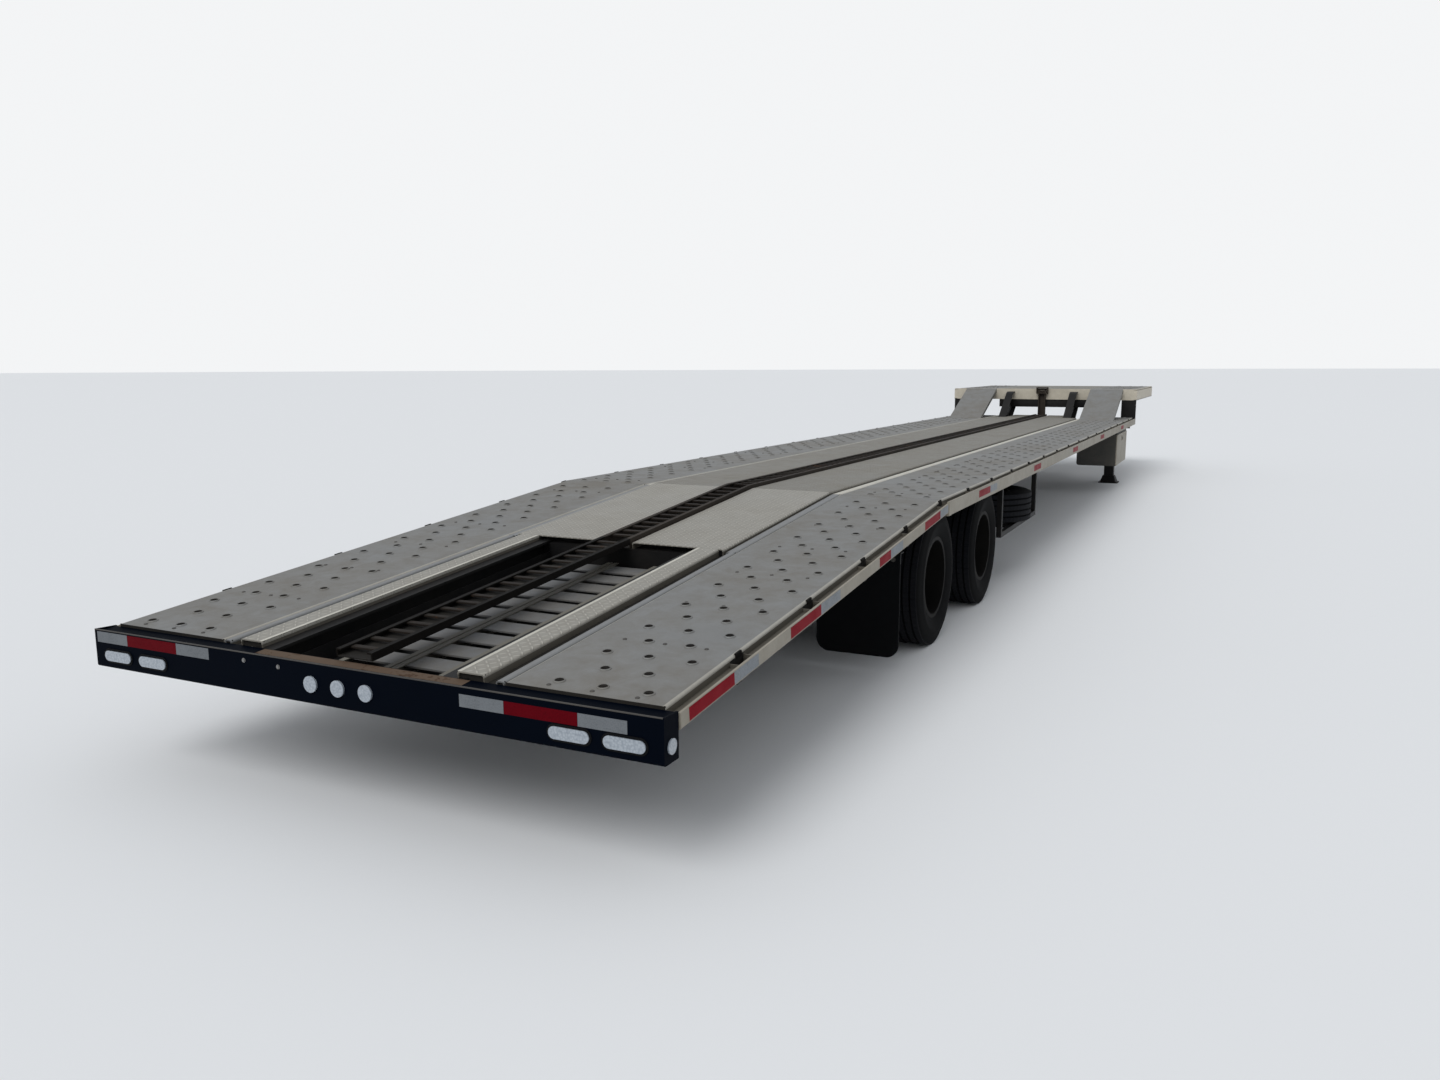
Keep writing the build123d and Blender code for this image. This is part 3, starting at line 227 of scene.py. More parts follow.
def prism(section, start, stop, finish):
    """Closed bar with a section drawn as (across, up), from start to stop along Y."""
    bm = bmesh.new()
    ends = [[bm.verts.new((x, y, z)) for (x, z) in section] for y in (start, stop)]
    pairs = [(k, (k + 1) % len(section)) for k in range(len(section))]
    for (k, n) in pairs:
        bm.faces.new((ends[0][k], ends[0][n], ends[1][n], ends[1][k]))
    for end in ends:
        bmesh.ops.triangle_fill(bm, use_beauty=True, edges=[bm.edges.get((end[k], end[n])) for (k, n) in pairs])
    return from_bmesh(bm, finish, 35)


def slab(low, high, finish=None, bevel=0.0, name="part"):
    """Block between two corners, with its edges taken off where a bevel is given."""
    bm = bmesh.new()
    bmesh.ops.create_cube(bm, size=1)
    bmesh.ops.scale(bm, vec=Vector(high) - Vector(low), verts=bm.verts)
    bmesh.ops.translate(bm, vec=(Vector(low) + Vector(high)) / 2, verts=bm.verts)
    if bevel:
        bmesh.ops.bevel(bm, geom=bm.edges[:], offset=bevel, segments=2, profile=0.6, affect="EDGES")
    return from_bmesh(bm, finish, 40, name)


def turned(profile, segments, finish):
    """Closed ring about X from a closed loop of (x, radius)."""
    bm = bmesh.new()
    turns = [2 * pi * k / segments for k in range(segments)]
    rings = [[bm.verts.new((x, r * sin(turn), r * cos(turn))) for turn in turns] for (x, r) in profile]
    for (a, b) in zip(rings, rings[1:] + rings[:1]):
        for k in range(segments):
            n = (k + 1) % segments
            bm.faces.new((a[k], b[k], b[n], a[n]))
    return from_bmesh(bm, finish, 30)


# Node helpers

def socket_kind(value):
    """Type of a socket, from its default value or, where it has none, from its own name."""
    if isinstance(value, tuple):
        return "Color" if len(value) == 4 else "Vector"
    return {float: "Float", int: "Int"}.get(type(value), value)


class Graph:
    """Adds nodes to a tree and joins their sockets."""

    def __init__(self, tree, family):
        self.tree = tree
        self.family = family

    def add(self, kind, links=(), **settings):
        """New node of any family."""
        node = self.tree.nodes.new(kind)
        for (key, value) in settings.items():
            setattr(node, key, value)
        self.fill(node, dict(links))
        return node

    def out(self, kind, links=(), output=0, **settings):
        """Output of a new node of the tree's own family."""
        return self.add(self.family + kind, links, **settings).outputs[output]

    def fill(self, node, links):
        for (socket, value) in links.items():
            if isinstance(value, bpy.types.Node):
                value = value.outputs[0]
            if isinstance(value, bpy.types.NodeSocket):
                self.tree.links.new(value, node.inputs[socket])
            else:
                node.inputs[socket].default_value = value

    def surface(self, links):
        self.fill(self.tree.nodes["Principled BSDF"], links)

    def math(self, operation, a, b=0.0, c=0.0):
        return self.add("ShaderNodeMath", {0: a, 1: b, 2: c}, operation=operation).outputs[0]

    plus = partialmethod(math, "ADD")
    minus = partialmethod(math, "SUBTRACT")
    times = partialmethod(math, "MULTIPLY")
    over = partialmethod(math, "DIVIDE")
    times_plus = partialmethod(math, "MULTIPLY_ADD")

    def blend(self, share, a, b, **settings):
        return self.out("Mix", {0: share, 6: a, 7: b}, 2, data_type="RGBA", **settings)

    def vector(self, x=0.0, y=0.0, z=0.0):
        return self.add("ShaderNodeCombineXYZ", {0: x, 1: y, 2: z}).outputs[0]

    def join(self, pieces):
        node = self.add("GeometryNodeJoinGeometry")
        for piece in pieces:
            self.fill(node, {0: piece})
        return node.outputs[0]

    def shifted(self, geometry, x=0.0, y=0.0, z=0.0):
        return self.out("Transform", {"Geometry": geometry, "Translation": self.vector(x, y, z)})

    def line(self, count, start, step):
        return self.out("MeshLine", {"Count": count, "Start Location": start, "Offset": step}, mode="OFFSET")

    def circle(self, sides, radius):
        return self.out("CurvePrimitiveCircle", {"Resolution": sides, "Radius": radius})

    def cylinder(self, sides, radius, tall):
        return self.out("MeshCylinder", {"Vertices": sides, "Radius": radius, "Depth": tall})

    def copies(self, points, shape, **more):
        return self.out("InstanceOnPoints", {"Points": points, "Instance": shape, **more})

    def realised(self, geometry):
        return self.out("RealizeInstances", {0: geometry})

    def finished(self, geometry, finish):
        """Real geometry with a material, as each tree ends."""
        return self.out("SetMaterial", {"Geometry": self.realised(geometry), "Material": finish})


def node_group(name, family, inputs, outputs):
    """Turns a function that draws a graph from its input sockets and returns its outputs into the group, made once."""
    def wrap(build):
        @cache
        def made():
            tree = bpy.data.node_groups.new(name, family + "Tree")
            for (label, value) in inputs.items():
                item = tree.interface.new_socket(label, in_out="INPUT", socket_type="NodeSocket" + socket_kind(value))
                if not isinstance(value, str):
                    item.default_value = value
            for (label, kind) in outputs.items():
                tree.interface.new_socket(label, in_out="OUTPUT", socket_type="NodeSocket" + kind)
            g, sockets = Graph(tree, family), tree.nodes.new("NodeGroupInput").outputs
            g.fill(tree.nodes.new("NodeGroupOutput"), build(g, sockets))
            return tree
        return made
    return wrap


def shape_tree(name, inputs):
    """Node group of Geometry Nodes for one kind of shape."""
    return node_group(name, "GeometryNode", {**inputs, "Finish": "Material"}, {"Geometry": "Geometry"})


def grown(tree, **values):
    """Runs a Geometry Nodes tree on an empty mesh and returns the plain mesh it makes."""
    host = placed(tree.name, bpy.data.meshes.new(tree.name))
    modifier = host.modifiers.new("shape", "NODES")
    modifier.node_group = tree
    sockets = {item.name: item.identifier for item in tree.interface.items_tree if item.in_out == "INPUT"}
    for (label, value) in values.items():
        modifier[sockets[label.replace("_", " ")]] = FINISHES[value] if isinstance(value, str) else value
    depsgraph = bpy.context.evaluated_depsgraph_get()
    mesh = bpy.data.meshes.new_from_object(host.evaluated_get(depsgraph))
    drop(host)
    if not mesh.polygons:
        raise RuntimeError(f"{tree.name} came out empty")
    return placed(tree.name, mesh)


# Geometry Nodes trees

HOLE_SIDES = 12
SECTION_SIDES = 4
WELD = 0.00002
RIM_STRETCH = 1.5
# Near-black rings of painted shade stand tall inside the holes so that the holes read dark.
SHADE_LINING_GAP = 0.0008
SHADE_LINING_THICK = 0.001
SHADE_LINING_STRETCH = 10
SHADE_LINING_DROP = 0.0055
WASHER_SIDES = 14
WASHER_WIDE = 1.45
WASHER_TALL = 0.4
HEAD_LIFT = 0.7
# Sides, radius in nut radii and the two ends in nut heights of a wheel nut, its washer and its stud.
NUT_STACK = ((6, 1.0, 0.0, 1.0), (14, 1.5, 0.0, 0.18), (10, 0.62, 0.9, 1.5))
BLOCK_SHARE = 0.955
TREAD_SINK = 0.0006


@shape_tree("Pierced sheet", {
    "Low X": 0.0, "High X": 1.0, "Low Y": 0.0, "High Y": 1.0, "First X": 0.1, "First Y": 0.1, "Column pitch": 0.08,
    "Row pitch": 0.15, "Rows": 4, "Hole": 0.01, "Rim": 0.002, "Sheet": 0.005, "Lining": "Material",
})
def pierced_sheet_tree(g, s):
    """Flat sheet in Z = 0 with staggered rows of holes, each with a pressed rim and a near-black ring of painted shade
    inside it.
    """
    def centred(first, pitch, shift, reach):
        return g.plus(g.plus(s[first], g.times(s[pitch], float(shift))), g.times(reach, 0.5))

    def ring(radius, thick, stretch, sunk):
        line, section = g.circle(HOLE_SIDES, radius), g.circle(SECTION_SIDES, thick)
        tube = g.out("CurveToMesh", {"Curve": line, "Profile Curve": section})
        tube = g.out("Transform", {"Geometry": tube, "Scale": (1, 1, stretch), "Translation": (0, 0, -sunk)})
        return g.copies(spots, tube)

    grids = []
    for (columns, shift) in ((3, 0), (2, 1)):
        wide = g.times(s["Column pitch"], 2.0 * (columns - 1))
        count = g.math("CEIL", g.over(g.minus(s["Rows"], float(shift)), 2.0))
        long = g.times(g.minus(count, 1.0), g.times(s["Row pitch"], 2.0))
        grid = g.out("MeshGrid", {"Size X": wide, "Size Y": long, "Vertices X": columns, "Vertices Y": count})
        grids.append(g.shifted(grid, centred("First X", "Column pitch", shift, wide),
                               centred("First Y", "Row pitch", shift, long)))
    spots = g.out("MeshToPoints", {"Mesh": g.join(grids)})
    holes = g.copies(spots, g.circle(HOLE_SIDES, s["Hole"]))
    wide, long = g.minus(s["High X"], s["Low X"]), g.minus(s["High Y"], s["Low Y"])
    edge = g.out("CurvePrimitiveQuadrilateral", {"Width": wide, "Height": long})
    edge = g.shifted(edge, g.times_plus(wide, 0.5, s["Low X"]), g.times_plus(long, 0.5, s["Low Y"]))
    flat = g.out("FillCurve", {"Curve": g.join([edge, g.realised(holes)])})
    low = g.shifted(flat, z=g.times(s["Sheet"], -1.0))
    walls = g.out("ExtrudeMesh", {"Mesh": low, "Offset": g.vector(z=1.0), "Offset Scale": s["Sheet"],
                                  "Individual": False}, mode="FACES")
    under = g.out("FlipFaces", {"Mesh": low})
    sheet = g.out("MergeByDistance", {"Geometry": g.join([walls, under]), "Distance": WELD})
    rims = ring(g.plus(s["Hole"], s["Rim"]), s["Rim"], RIM_STRETCH, 0)
    # Near-black painted shade inside each hole.
    shade_linings = ring(g.minus(s["Hole"], SHADE_LINING_GAP), SHADE_LINING_THICK, SHADE_LINING_STRETCH, SHADE_LINING_DROP)
    return {0: g.join([g.finished(g.join([sheet, rims]), s["Finish"]), g.finished(shade_linings, s["Lining"])])}


@shape_tree("Bolt row", {
    "Count": 4, "Start": (0, 0, 0), "Step": (0, 0.1, 0), "Turn": (0, 0, 0), "Head radius": 0.012, "Head height": 0.008,
})
def bolt_row_tree(g, s):
    """Straight row of hexagon bolt heads with washers, standing on Z = 0 and running from Start by Step."""
    wide, tall = s["Head radius"], s["Head height"]
    head = g.shifted(g.cylinder(6, wide, tall), z=g.times(tall, HEAD_LIFT))
    washer = g.cylinder(WASHER_SIDES, g.times(wide, WASHER_WIDE), g.times(tall, WASHER_TALL))
    turn = g.add("FunctionNodeEulerToRotation", {0: s["Turn"]})
    line = g.line(s["Count"], s["Start"], s["Step"])
    return {0: g.finished(g.copies(line, g.join([head, washer]), Rotation=turn), s["Finish"])}


@shape_tree("Row of copies", {"Shape": "Object", "Count": 4, "Start": (0, 0, 0), "Step": (0, 0.1, 0)})
def row_tree(g, s):
    """Straight row of copies of one shape, from Start by Step."""
    line = g.line(s["Count"], s["Start"], s["Step"])
    return {0: g.finished(g.copies(line, g.out("ObjectInfo", {0: s["Shape"]}, "Geometry")), s["Finish"])}


def row(shape, count, start, step, finish):
    """Row of copies of a shape along Y, from a first place; the shape is then taken away."""
    copies = grown(row_tree(), Shape=shape, Count=count, Start=start, Step=(0, step, 0), Finish=finish)
    drop(shape)
    return copies


@shape_tree("Nut ring", {"Count": 10, "Ring radius": 0.14, "Nut radius": 0.016, "Nut height": 0.022, "Along X": 0.0})
def nut_ring_tree(g, s):
    """Ring of nuts about the X axis, each with a washer and a stud end, facing +X."""
    ring = g.out("MeshCircle", {"Vertices": s["Count"], "Radius": s["Ring radius"]})
    pegs = []
    for (sides, radius, low, high) in NUT_STACK:
        peg = g.cylinder(sides, g.times(s["Nut radius"], radius), g.times(s["Nut height"], high - low))
        pegs.append(g.shifted(peg, z=g.times(s["Nut height"], (high + low) / 2)))
    nuts = g.realised(g.copies(ring, g.join(pegs)))
    nuts = g.out("Transform", {"Geometry": nuts, "Rotation": (0, pi / 2, 0), "Translation": g.vector(s["Along X"])})
    return {0: g.finished(nuts, s["Finish"])}


@shape_tree("Tread blocks", {
    "Ribs": 5, "Blocks": 64, "Radius": 0.394, "Rib width": 0.03, "Groove": 0.009, "Depth": 0.012,
})
def tread_tree(g, s):
    """Tread of sawn ribs round the X axis: a row of blocks across, repeated round the tyre."""
    step = g.plus(s["Rib width"], s["Groove"])
    first = g.times(g.times(g.minus(s["Ribs"], 1.0), step), -0.5)
    line = g.line(s["Ribs"], g.vector(first), g.vector(step))
    long = g.over(g.times(s["Radius"], 2 * pi * BLOCK_SHARE), s["Blocks"])
    block = g.out("MeshCube", {"Size": g.vector(s["Rib width"], long, s["Depth"])})
    across = g.realised(g.copies(line, block))
    across = g.shifted(across, z=g.minus(g.minus(s["Radius"], TREAD_SINK), g.times(s["Depth"], 0.5)))
    turn = g.times(g.out("InputIndex"), g.over(2 * pi, s["Blocks"]))
    turn = g.add("FunctionNodeEulerToRotation", {0: g.vector(turn)})
    return {0: g.finished(g.copies(g.line(s["Blocks"], (0, 0, 0), (0, 0, 0)), across, Rotation=turn), s["Finish"])}


# Shader groups and finishes

HALF_ROOT = 0.7071
LUG_LONG = 0.50
LUG_WIDE = 0.15
LUG_TALL = 0.0035
GRAIN_TALL = 0.002


@node_group("Weathering", "ShaderNode", {
    "Base": (0.5, 0.5, 0.5, 1), "Dirt": (0.2, 0.17, 0.13, 1), "Rust": (0.12, 0.045, 0.02, 1), "Dirt amount": 0.4,
    "Rust amount": 0.2, "Grain": 60.0, "Roughness": 0.5,
}, {"Color": "Color", "Roughness": "Float", "Height": "Float"})
def weather_group(g, s):
    """Base colour broken up by dirt and rust patches, with roughness and height to match."""
    where = g.out("TexCoord", output="Object")

    def noise(scale, detail, rough, distortion=0.0):
        return g.out("TexNoise", {"Vector": where, "Scale": scale, "Detail": detail, "Roughness": rough,
                                  "Distortion": distortion})

    broad, patch, fine = noise(1.7, 6.0, 0.62), noise(9.0, 8.0, 0.7, 0.4), noise(s["Grain"], 4.0, 0.6)
    dirt = g.times_plus(patch, 0.45, g.times(broad, 0.55))
    dirt = g.out("MapRange", {"Value": dirt, "From Min": 0.40, "From Max": 0.66})
    dirt = g.times(g.times(dirt, s["Dirt amount"]), g.times_plus(fine, 0.6, 0.7))
    edge = g.minus(0.86, g.times(s["Rust amount"], 0.42))
    rust = g.times_plus(fine, 0.25, g.times(patch, 0.85))
    rust = g.out("MapRange", {"Value": rust, "From Min": edge, "From Max": g.plus(edge, 0.06)})
    tone = g.times_plus(broad, 0.5, g.times_plus(fine, 0.3, 0.6))
    base = g.blend(1.0, s["Base"], g.out("CombineColor", {0: tone, 1: tone, 2: tone}), blend_type="MULTIPLY")
    worn = g.blend(g.times(rust, 0.9), g.blend(dirt, base, s["Dirt"]), s["Rust"])
    rough = g.times_plus(fine, 0.16, g.minus(s["Roughness"], 0.08))
    rough = g.times_plus(dirt, 0.30, g.times_plus(rust, 0.32, rough))
    rough = g.out("Clamp", {"Value": rough, "Min": 0.12, "Max": 0.95})
    return {"Color": worn, "Roughness": rough, "Height": g.times_plus(rust, 0.5, g.times(fine, 0.5))}


@node_group("Chequer lugs", "ShaderNode", {"Pitch": 0.03}, {"Lug": "Float"})
def chequer_group(g, s):
    """Raised lugs of chequer plate, turned one way and the other in alternate cells."""
    where = g.add("ShaderNodeSeparateXYZ", {0: g.out("TexCoord", output="Object")}).outputs
    u, v = g.over(where[0], s["Pitch"]), g.over(where[1], s["Pitch"])
    parity = g.math("FLOORED_MODULO", g.plus(g.math("FLOOR", u), g.math("FLOOR", v)), 2.0)
    a, b = g.minus(g.math("FRACT", u), 0.5), g.minus(g.math("FRACT", v), 0.5)
    rising, falling = g.times(g.plus(a, b), HALF_ROOT), g.times(g.minus(a, b), HALF_ROOT)
    swap = g.minus(1.0, parity)
    long = g.plus(g.times(rising, parity), g.times(falling, swap))
    short = g.plus(g.times(falling, parity), g.times(rising, swap))
    reach = g.plus(g.math("POWER", g.over(long, LUG_LONG), 2.0), g.math("POWER", g.over(short, LUG_WIDE), 2.0))
    return {0: g.out("MapRange", {"Value": reach, "From Min": 1.05, "From Max": 0.55})}


def new_material(name):
    """Material kept under its name, and the graph of its nodes."""
    FINISHES[name] = material = bpy.data.materials.new(name)
    material.use_nodes = True
    return Graph(material.node_tree, "ShaderNode")


def scaled(rgb, share):
    return [share * c for c in rgb]


def weathered(name, base, dirt, rust, rough, metal, grain, bump, shine, chequer=0.0):
    """Painted or bare metal, rubber or plastic, weathered by the shared group."""
    paint = bpy.context.scene.trailer_paint
    g = new_material(name)
    look = g.add("ShaderNodeGroup", {
        "Base": (*base, 1), "Dirt": (*paint.dirt, 1), "Rust": (*paint.rust, 1), "Dirt amount": dirt,
        "Rust amount": rust, "Grain": grain, "Roughness": rough}, node_tree=weather_group()).outputs
    seen = look["Color"]
    normal = g.out("Bump", {"Strength": bump, "Distance": GRAIN_TALL, "Height": look["Height"]})
    if chequer:
        lug = g.add("ShaderNodeGroup", {"Pitch": chequer}, node_tree=chequer_group()).outputs[0]
        normal = g.out("Bump", {"Strength": 0.9, "Distance": LUG_TALL, "Height": lug, "Normal": normal})
        seen = g.blend(g.times(lug, 0.55), seen, (*[min(1, 1.7 * c) for c in base], 1))
    g.surface({"Base Color": seen, "Roughness": look["Roughness"], "Metallic": metal, "Specular IOR Level": shine,
               "Normal": normal})


def tape_finish(name, base):
    """Reflecting tape with a faint pattern of cells, dulled by dust."""
    g = new_material(name)
    where = g.out("TexCoord", output="Object")
    dust = g.out("TexNoise", {"Vector": where, "Scale": 14, "Detail": 6})
    cells = g.out("TexVoronoi", {"Vector": where, "Scale": 220})
    g.surface({"Base Color": g.blend(g.times(cells, dust), (*base, 1), (*scaled(base, 0.45), 1)),
               "Roughness": g.out("MapRange", {"Value": dust, "To Min": 0.25, "To Max": 0.55}),
               "Specular IOR Level": 0.03})


def lens_finish(name):
    """Clear lamp cover with fine prisms over a pale reflector."""
    g = new_material(name)
    cells = g.out("TexVoronoi", {"Vector": g.out("TexCoord", output="Object"), "Scale": 120})
    g.surface({"Base Color": g.blend(cells, (0.36, 0.40, 0.44, 1), (0.20, 0.23, 0.27, 1)),
               "Normal": g.out("Bump", {"Strength": 0.5, "Distance": GRAIN_TALL, "Height": cells}),
               "Roughness": 0.18, "Coat Weight": 0.8})


def palette():
    """Makes every finish of the trailer once."""
    p, lugs = bpy.context.scene.trailer_paint, bpy.context.scene.trailer_deck.chequer
    for values in (  # name, base, dirt, rust, roughness, metal, grain, bump, shine and, on chequer plate, pitch
        ("galvanised", p.galvanised, 0.62, 0.20, 0.52, 0.35, 90, 0.14, 0.35),
        ("worn_edge", p.edge, 0.35, 0.15, 0.45, 0.30, 70, 0.10, 0.4),
        ("smooth_band", p.band, 0.30, 0.05, 0.42, 0.45, 40, 0.06, 0.4),
        ("screw_steel", (0.055, 0.052, 0.048), 0.2, 0.3, 0.5, 0.3, 90, 0.1, 0.4),
        ("worn_lip", (0.60, 0.58, 0.51), 0.30, 0.10, 0.45, 0.2, 70, 0.1, 0.4),
        ("rusty_lip", (0.085, 0.052, 0.032), 0.35, 0.60, 0.7, 0.0, 70, 0.2, 0.2),
        ("sill_edge", (0.040, 0.038, 0.036), 0.2, 0.4, 0.5, 0.0, 90, 0.1, 0.3),
        # Near-black painted shade: hole rings, gutter and track sheets, pocket backs and open plate ends.
        ("hole_lining", (0.012, 0.011, 0.010), 0.1, 0.1, 0.8, 0.0, 90, 0.1, 0.2),
        ("chequer_plate", p.deck, 0.50, 0.20, 0.50, 0.30, 80, 0.15, 0.4, lugs),
        ("well_chequer", scaled(p.deck, 1.45), 0.35, 0.10, 0.42, 0.30, 80, 0.15, 0.5, lugs),
        ("beige_paint", p.rail, 0.50, 0.30, 0.50, 0.0, 60, 0.15, 0.4),
        ("pale_paint", scaled(p.rail, 1.85), 0.40, 0.25, 0.50, 0.0, 60, 0.15, 0.4),
        # Dark copy of the rail paint: olive paint and painted shade in recesses, under bends and in pockets.
        ("olive_paint", scaled(p.rail, 0.30), 0.35, 0.35, 0.6, 0.0, 60, 0.15, 0.3),
        ("track_paint", p.track, 0.12, 0.45, 0.65, 0.0, 110, 0.35, 0.15),
        ("track_bars", scaled(p.track, 0.6), 0.06, 0.55, 0.65, 0.0, 110, 0.35, 0.15),
        # Near-black shaded copy of the track paint: painted shade.
        ("track_black", scaled(p.track, 0.15), 0.02, 0.20, 0.65, 0.0, 110, 0.35, 0.1),
        ("frame_paint", p.frame, 0.06, 0.12, 0.55, 0.0, 50, 0.2, 0.2),
        ("sill_paint", p.sill, 0.001, 0.006, 0.55, 0.0, 40, 0.12, 0.02),
        ("ramp_zinc", p.ramp, 0.70, 0.20, 0.5, 0.3, 90, 0.15, 0.4),
        ("ramp_paint", (0.150, 0.142, 0.120), 0.25, 0.35, 0.55, 0.1, 90, 0.2, 0.3),
        ("rubber", (0.0024, 0.0028, 0.0036), 0.01, 0.0, 0.65, 0.0, 120, 0.2, 0.09),
        ("tyre_rubber", (0.0035, 0.0037, 0.0042), 0.014, 0.0, 0.8, 0.0, 140, 0.25, 0.07),
        # Lighter bluish rubber on the tread ribs: a painted highlight.
        ("tread_rubber", (0.0085, 0.0093, 0.0118), 0.04, 0.0, 0.75, 0.0, 140, 0.25, 0.09),
        ("wheel_paint", (0.0034, 0.0032, 0.0030), 0.025, 0.12, 0.55, 0.0, 60, 0.2, 0.06),
        ("bare_steel", (0.20, 0.19, 0.18), 0.35, 0.3, 0.4, 0.8, 120, 0.15, 0.5),
        ("grease", (0.012, 0.011, 0.010), 0.2, 0.1, 0.25, 0.0, 40, 0.3, 0.5),
        ("cast_grey", (0.24, 0.24, 0.24), 0.3, 0.05, 0.45, 0.6, 80, 0.15, 0.5),
        ("box_paint", (0.050, 0.050, 0.048), 0.35, 0.15, 0.5, 0.0, 60, 0.12, 0.3),
    ):
        weathered(*values)
    tape_finish("tape_red", p.tape_red)
    tape_finish("tape_white", p.tape_white)
    tape_finish("dull_tape_red", scaled(p.tape_red, 0.45))
    tape_finish("dull_tape_white", scaled(p.tape_white, 0.62))
    lens_finish("lamp_lens")


def paint_nodes(finish, *names):
    """Gives nodes of the part one finish."""
    for name in names:
        data = NODES[name].data
        data.materials.clear()
        data.materials.append(FINISHES[finish])


# Folded plates

PLATE_THICK = 0.005
PLATE_BEND = 0.009
FOLD_FROM = 0.012
# End caps are near-black plates of painted shade.
CAP_INSET = 0.001
CAP_THICK = 0.004


def bent_edge(edge, way, top):
    """Section of the bend at a folded edge; way is 1 where the edge faces outward."""
    centre, inside, low = edge - way * PLATE_BEND, PLATE_BEND - PLATE_THICK, top - FOLD_FROM
    arc = [(way * sin(k * pi / 8), cos(k * pi / 8)) for k in range(5)]
    outer = [(centre + PLATE_BEND * x, top - PLATE_BEND + PLATE_BEND * z) for (x, z) in arc]
    inner = [(centre + inside * x, top - PLATE_BEND + inside * z) for (x, z) in reversed(arc)]
    return outer + [(edge, low), (edge - way * PLATE_THICK, low)] + inner


def edge_fold(edge, way, top, depth, start, stop, finish):
    """Bright bend at the edge of a plate and its darker fold below, the fold in olive paint darkened as painted shade.
    """
    low, high = sorted((edge, edge - way * PLATE_THICK))
    return [prism(bent_edge(edge, way, top), start, stop, finish),
            prism(bar(low, high, top - depth, top - FOLD_FROM), start, stop, "olive_paint")]


def folded_plate(inner, outer, top, depth_in, depth_out, start, stop, finish):
    """Flat plate with a bend and a darker fold along both edges."""
    flat = prism(bar(inner + PLATE_BEND, outer - PLATE_BEND, top - PLATE_THICK, top), start, stop, finish)
    return [flat, *edge_fold(inner, -1, top, depth_in, start, stop, finish),
            *edge_fold(outer, 1, top, depth_out, start, stop, finish)]


def shade_end_cap(low, high, bottom, top, at):
    """Near-black plate of painted shade that closes the open rear end of a folded plate."""
    return slab((low + CAP_INSET, at, bottom), (high - CAP_INSET, at + CAP_THICK, top), "hole_lining")


# Pieces

RUNWAY_IN = 0.655
RUNWAY_OUT = 1.250
RUNWAY_FOLD = 0.040
PLANK_CAP = (-RUNWAY_FOLD, -0.0005)
CAP_PROUD = 0.0005
END_MARGIN = 0.06
TAIL_FIRST_ROW = 0.155
LEVEL_FIRST_ROW = 3.33
UPPER_FIRST_ROW = 0.12
SCREW_COLUMNS = (0.805, 0.970, 1.135)
SCREW_RADIUS = 0.0085
SCREW_CROWN = 0.0068
SCREW_TALL = 0.003
FIRST_SCREW = 0.112
SCREW_PITCH = 0.477


def screw_head():
    """Low round head standing on Z = 0."""
    bm = bmesh.new()
    bmesh.ops.create_cone(bm, cap_ends=True, segments=10, radius1=SCREW_RADIUS, radius2=SCREW_CROWN,
                          depth=SCREW_TALL)
    bmesh.ops.translate(bm, vec=(0, 0, SCREW_TALL / 2), verts=bm.verts)
    return from_bmesh(bm, None, 30)


def plank(side, matrix, start, stop, first_row):
    """Folded runway plank with staggered holes and screws, laid on a deck by its matrix."""
    deck = bpy.context.scene.trailer_deck
    rows = int((stop - first_row - END_MARGIN) / deck.row_pitch) + 1
    parts = [grown(pierced_sheet_tree(), Low_X=RUNWAY_IN + PLATE_BEND, High_X=RUNWAY_OUT - PLATE_BEND, Low_Y=start,
                   High_Y=stop, First_X=deck.first_column, First_Y=first_row, Column_pitch=deck.column_pitch,
                   Row_pitch=deck.row_pitch, Rows=rows, Hole=deck.hole, Rim=deck.rim, Sheet=deck.sheet,
                   Finish="galvanised", Lining="hole_lining")]
    for (edge, way) in ((RUNWAY_IN, -1), (RUNWAY_OUT, 1)):
        # The bends of the plank carry a painted highlight.
        parts += edge_fold(edge, way, 0, RUNWAY_FOLD, start, stop, "worn_edge")
    parts.append(shade_end_cap(RUNWAY_IN, RUNWAY_OUT, *PLANK_CAP, start - CAP_PROUD))
    first = FIRST_SCREW + ceil((start - FIRST_SCREW) / SCREW_PITCH) * SCREW_PITCH
    count = int((stop - first) / SCREW_PITCH) + 1
    for across in SCREW_COLUMNS:
        parts.append(row(screw_head(), count, (across, first, 0), SCREW_PITCH, "screw_steel"))
    whole = joined("plank", parts)
    if side == "left":
        moved(whole, MIRROR)
    return moved(whole, matrix)


class TRAILER_OT_runways(Operator):
    """Makes the pierced runways of both decks"""
    bl_idname = "trailer.runways"
    bl_label = "Pierced runways"

    def execute(self, context):
        planks = []
        for side in ("left", "right"):
            planks.append(plank(side, TAIL, SILL_LIP, TAIL_STOP, TAIL_FIRST_ROW))
            planks.append(plank(side, LEVEL, LEVEL_START, LEVEL_END, LEVEL_FIRST_ROW))
        deck = joined("pierced_deck", planks)
        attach(deck, "chassis")
        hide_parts("deck_runways")
        start, stop = (corner.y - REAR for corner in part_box("upper_runways"))
        upper = [plank(side, UPPER, start, stop, start + UPPER_FIRST_ROW) for side in ("left", "right")]
        upper = joined("pierced_upper", upper)
        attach(upper, "chassis")
        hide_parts("upper_runways")
        paint_nodes("galvanised", "climb_ramps")
        return {"FINISHED"}


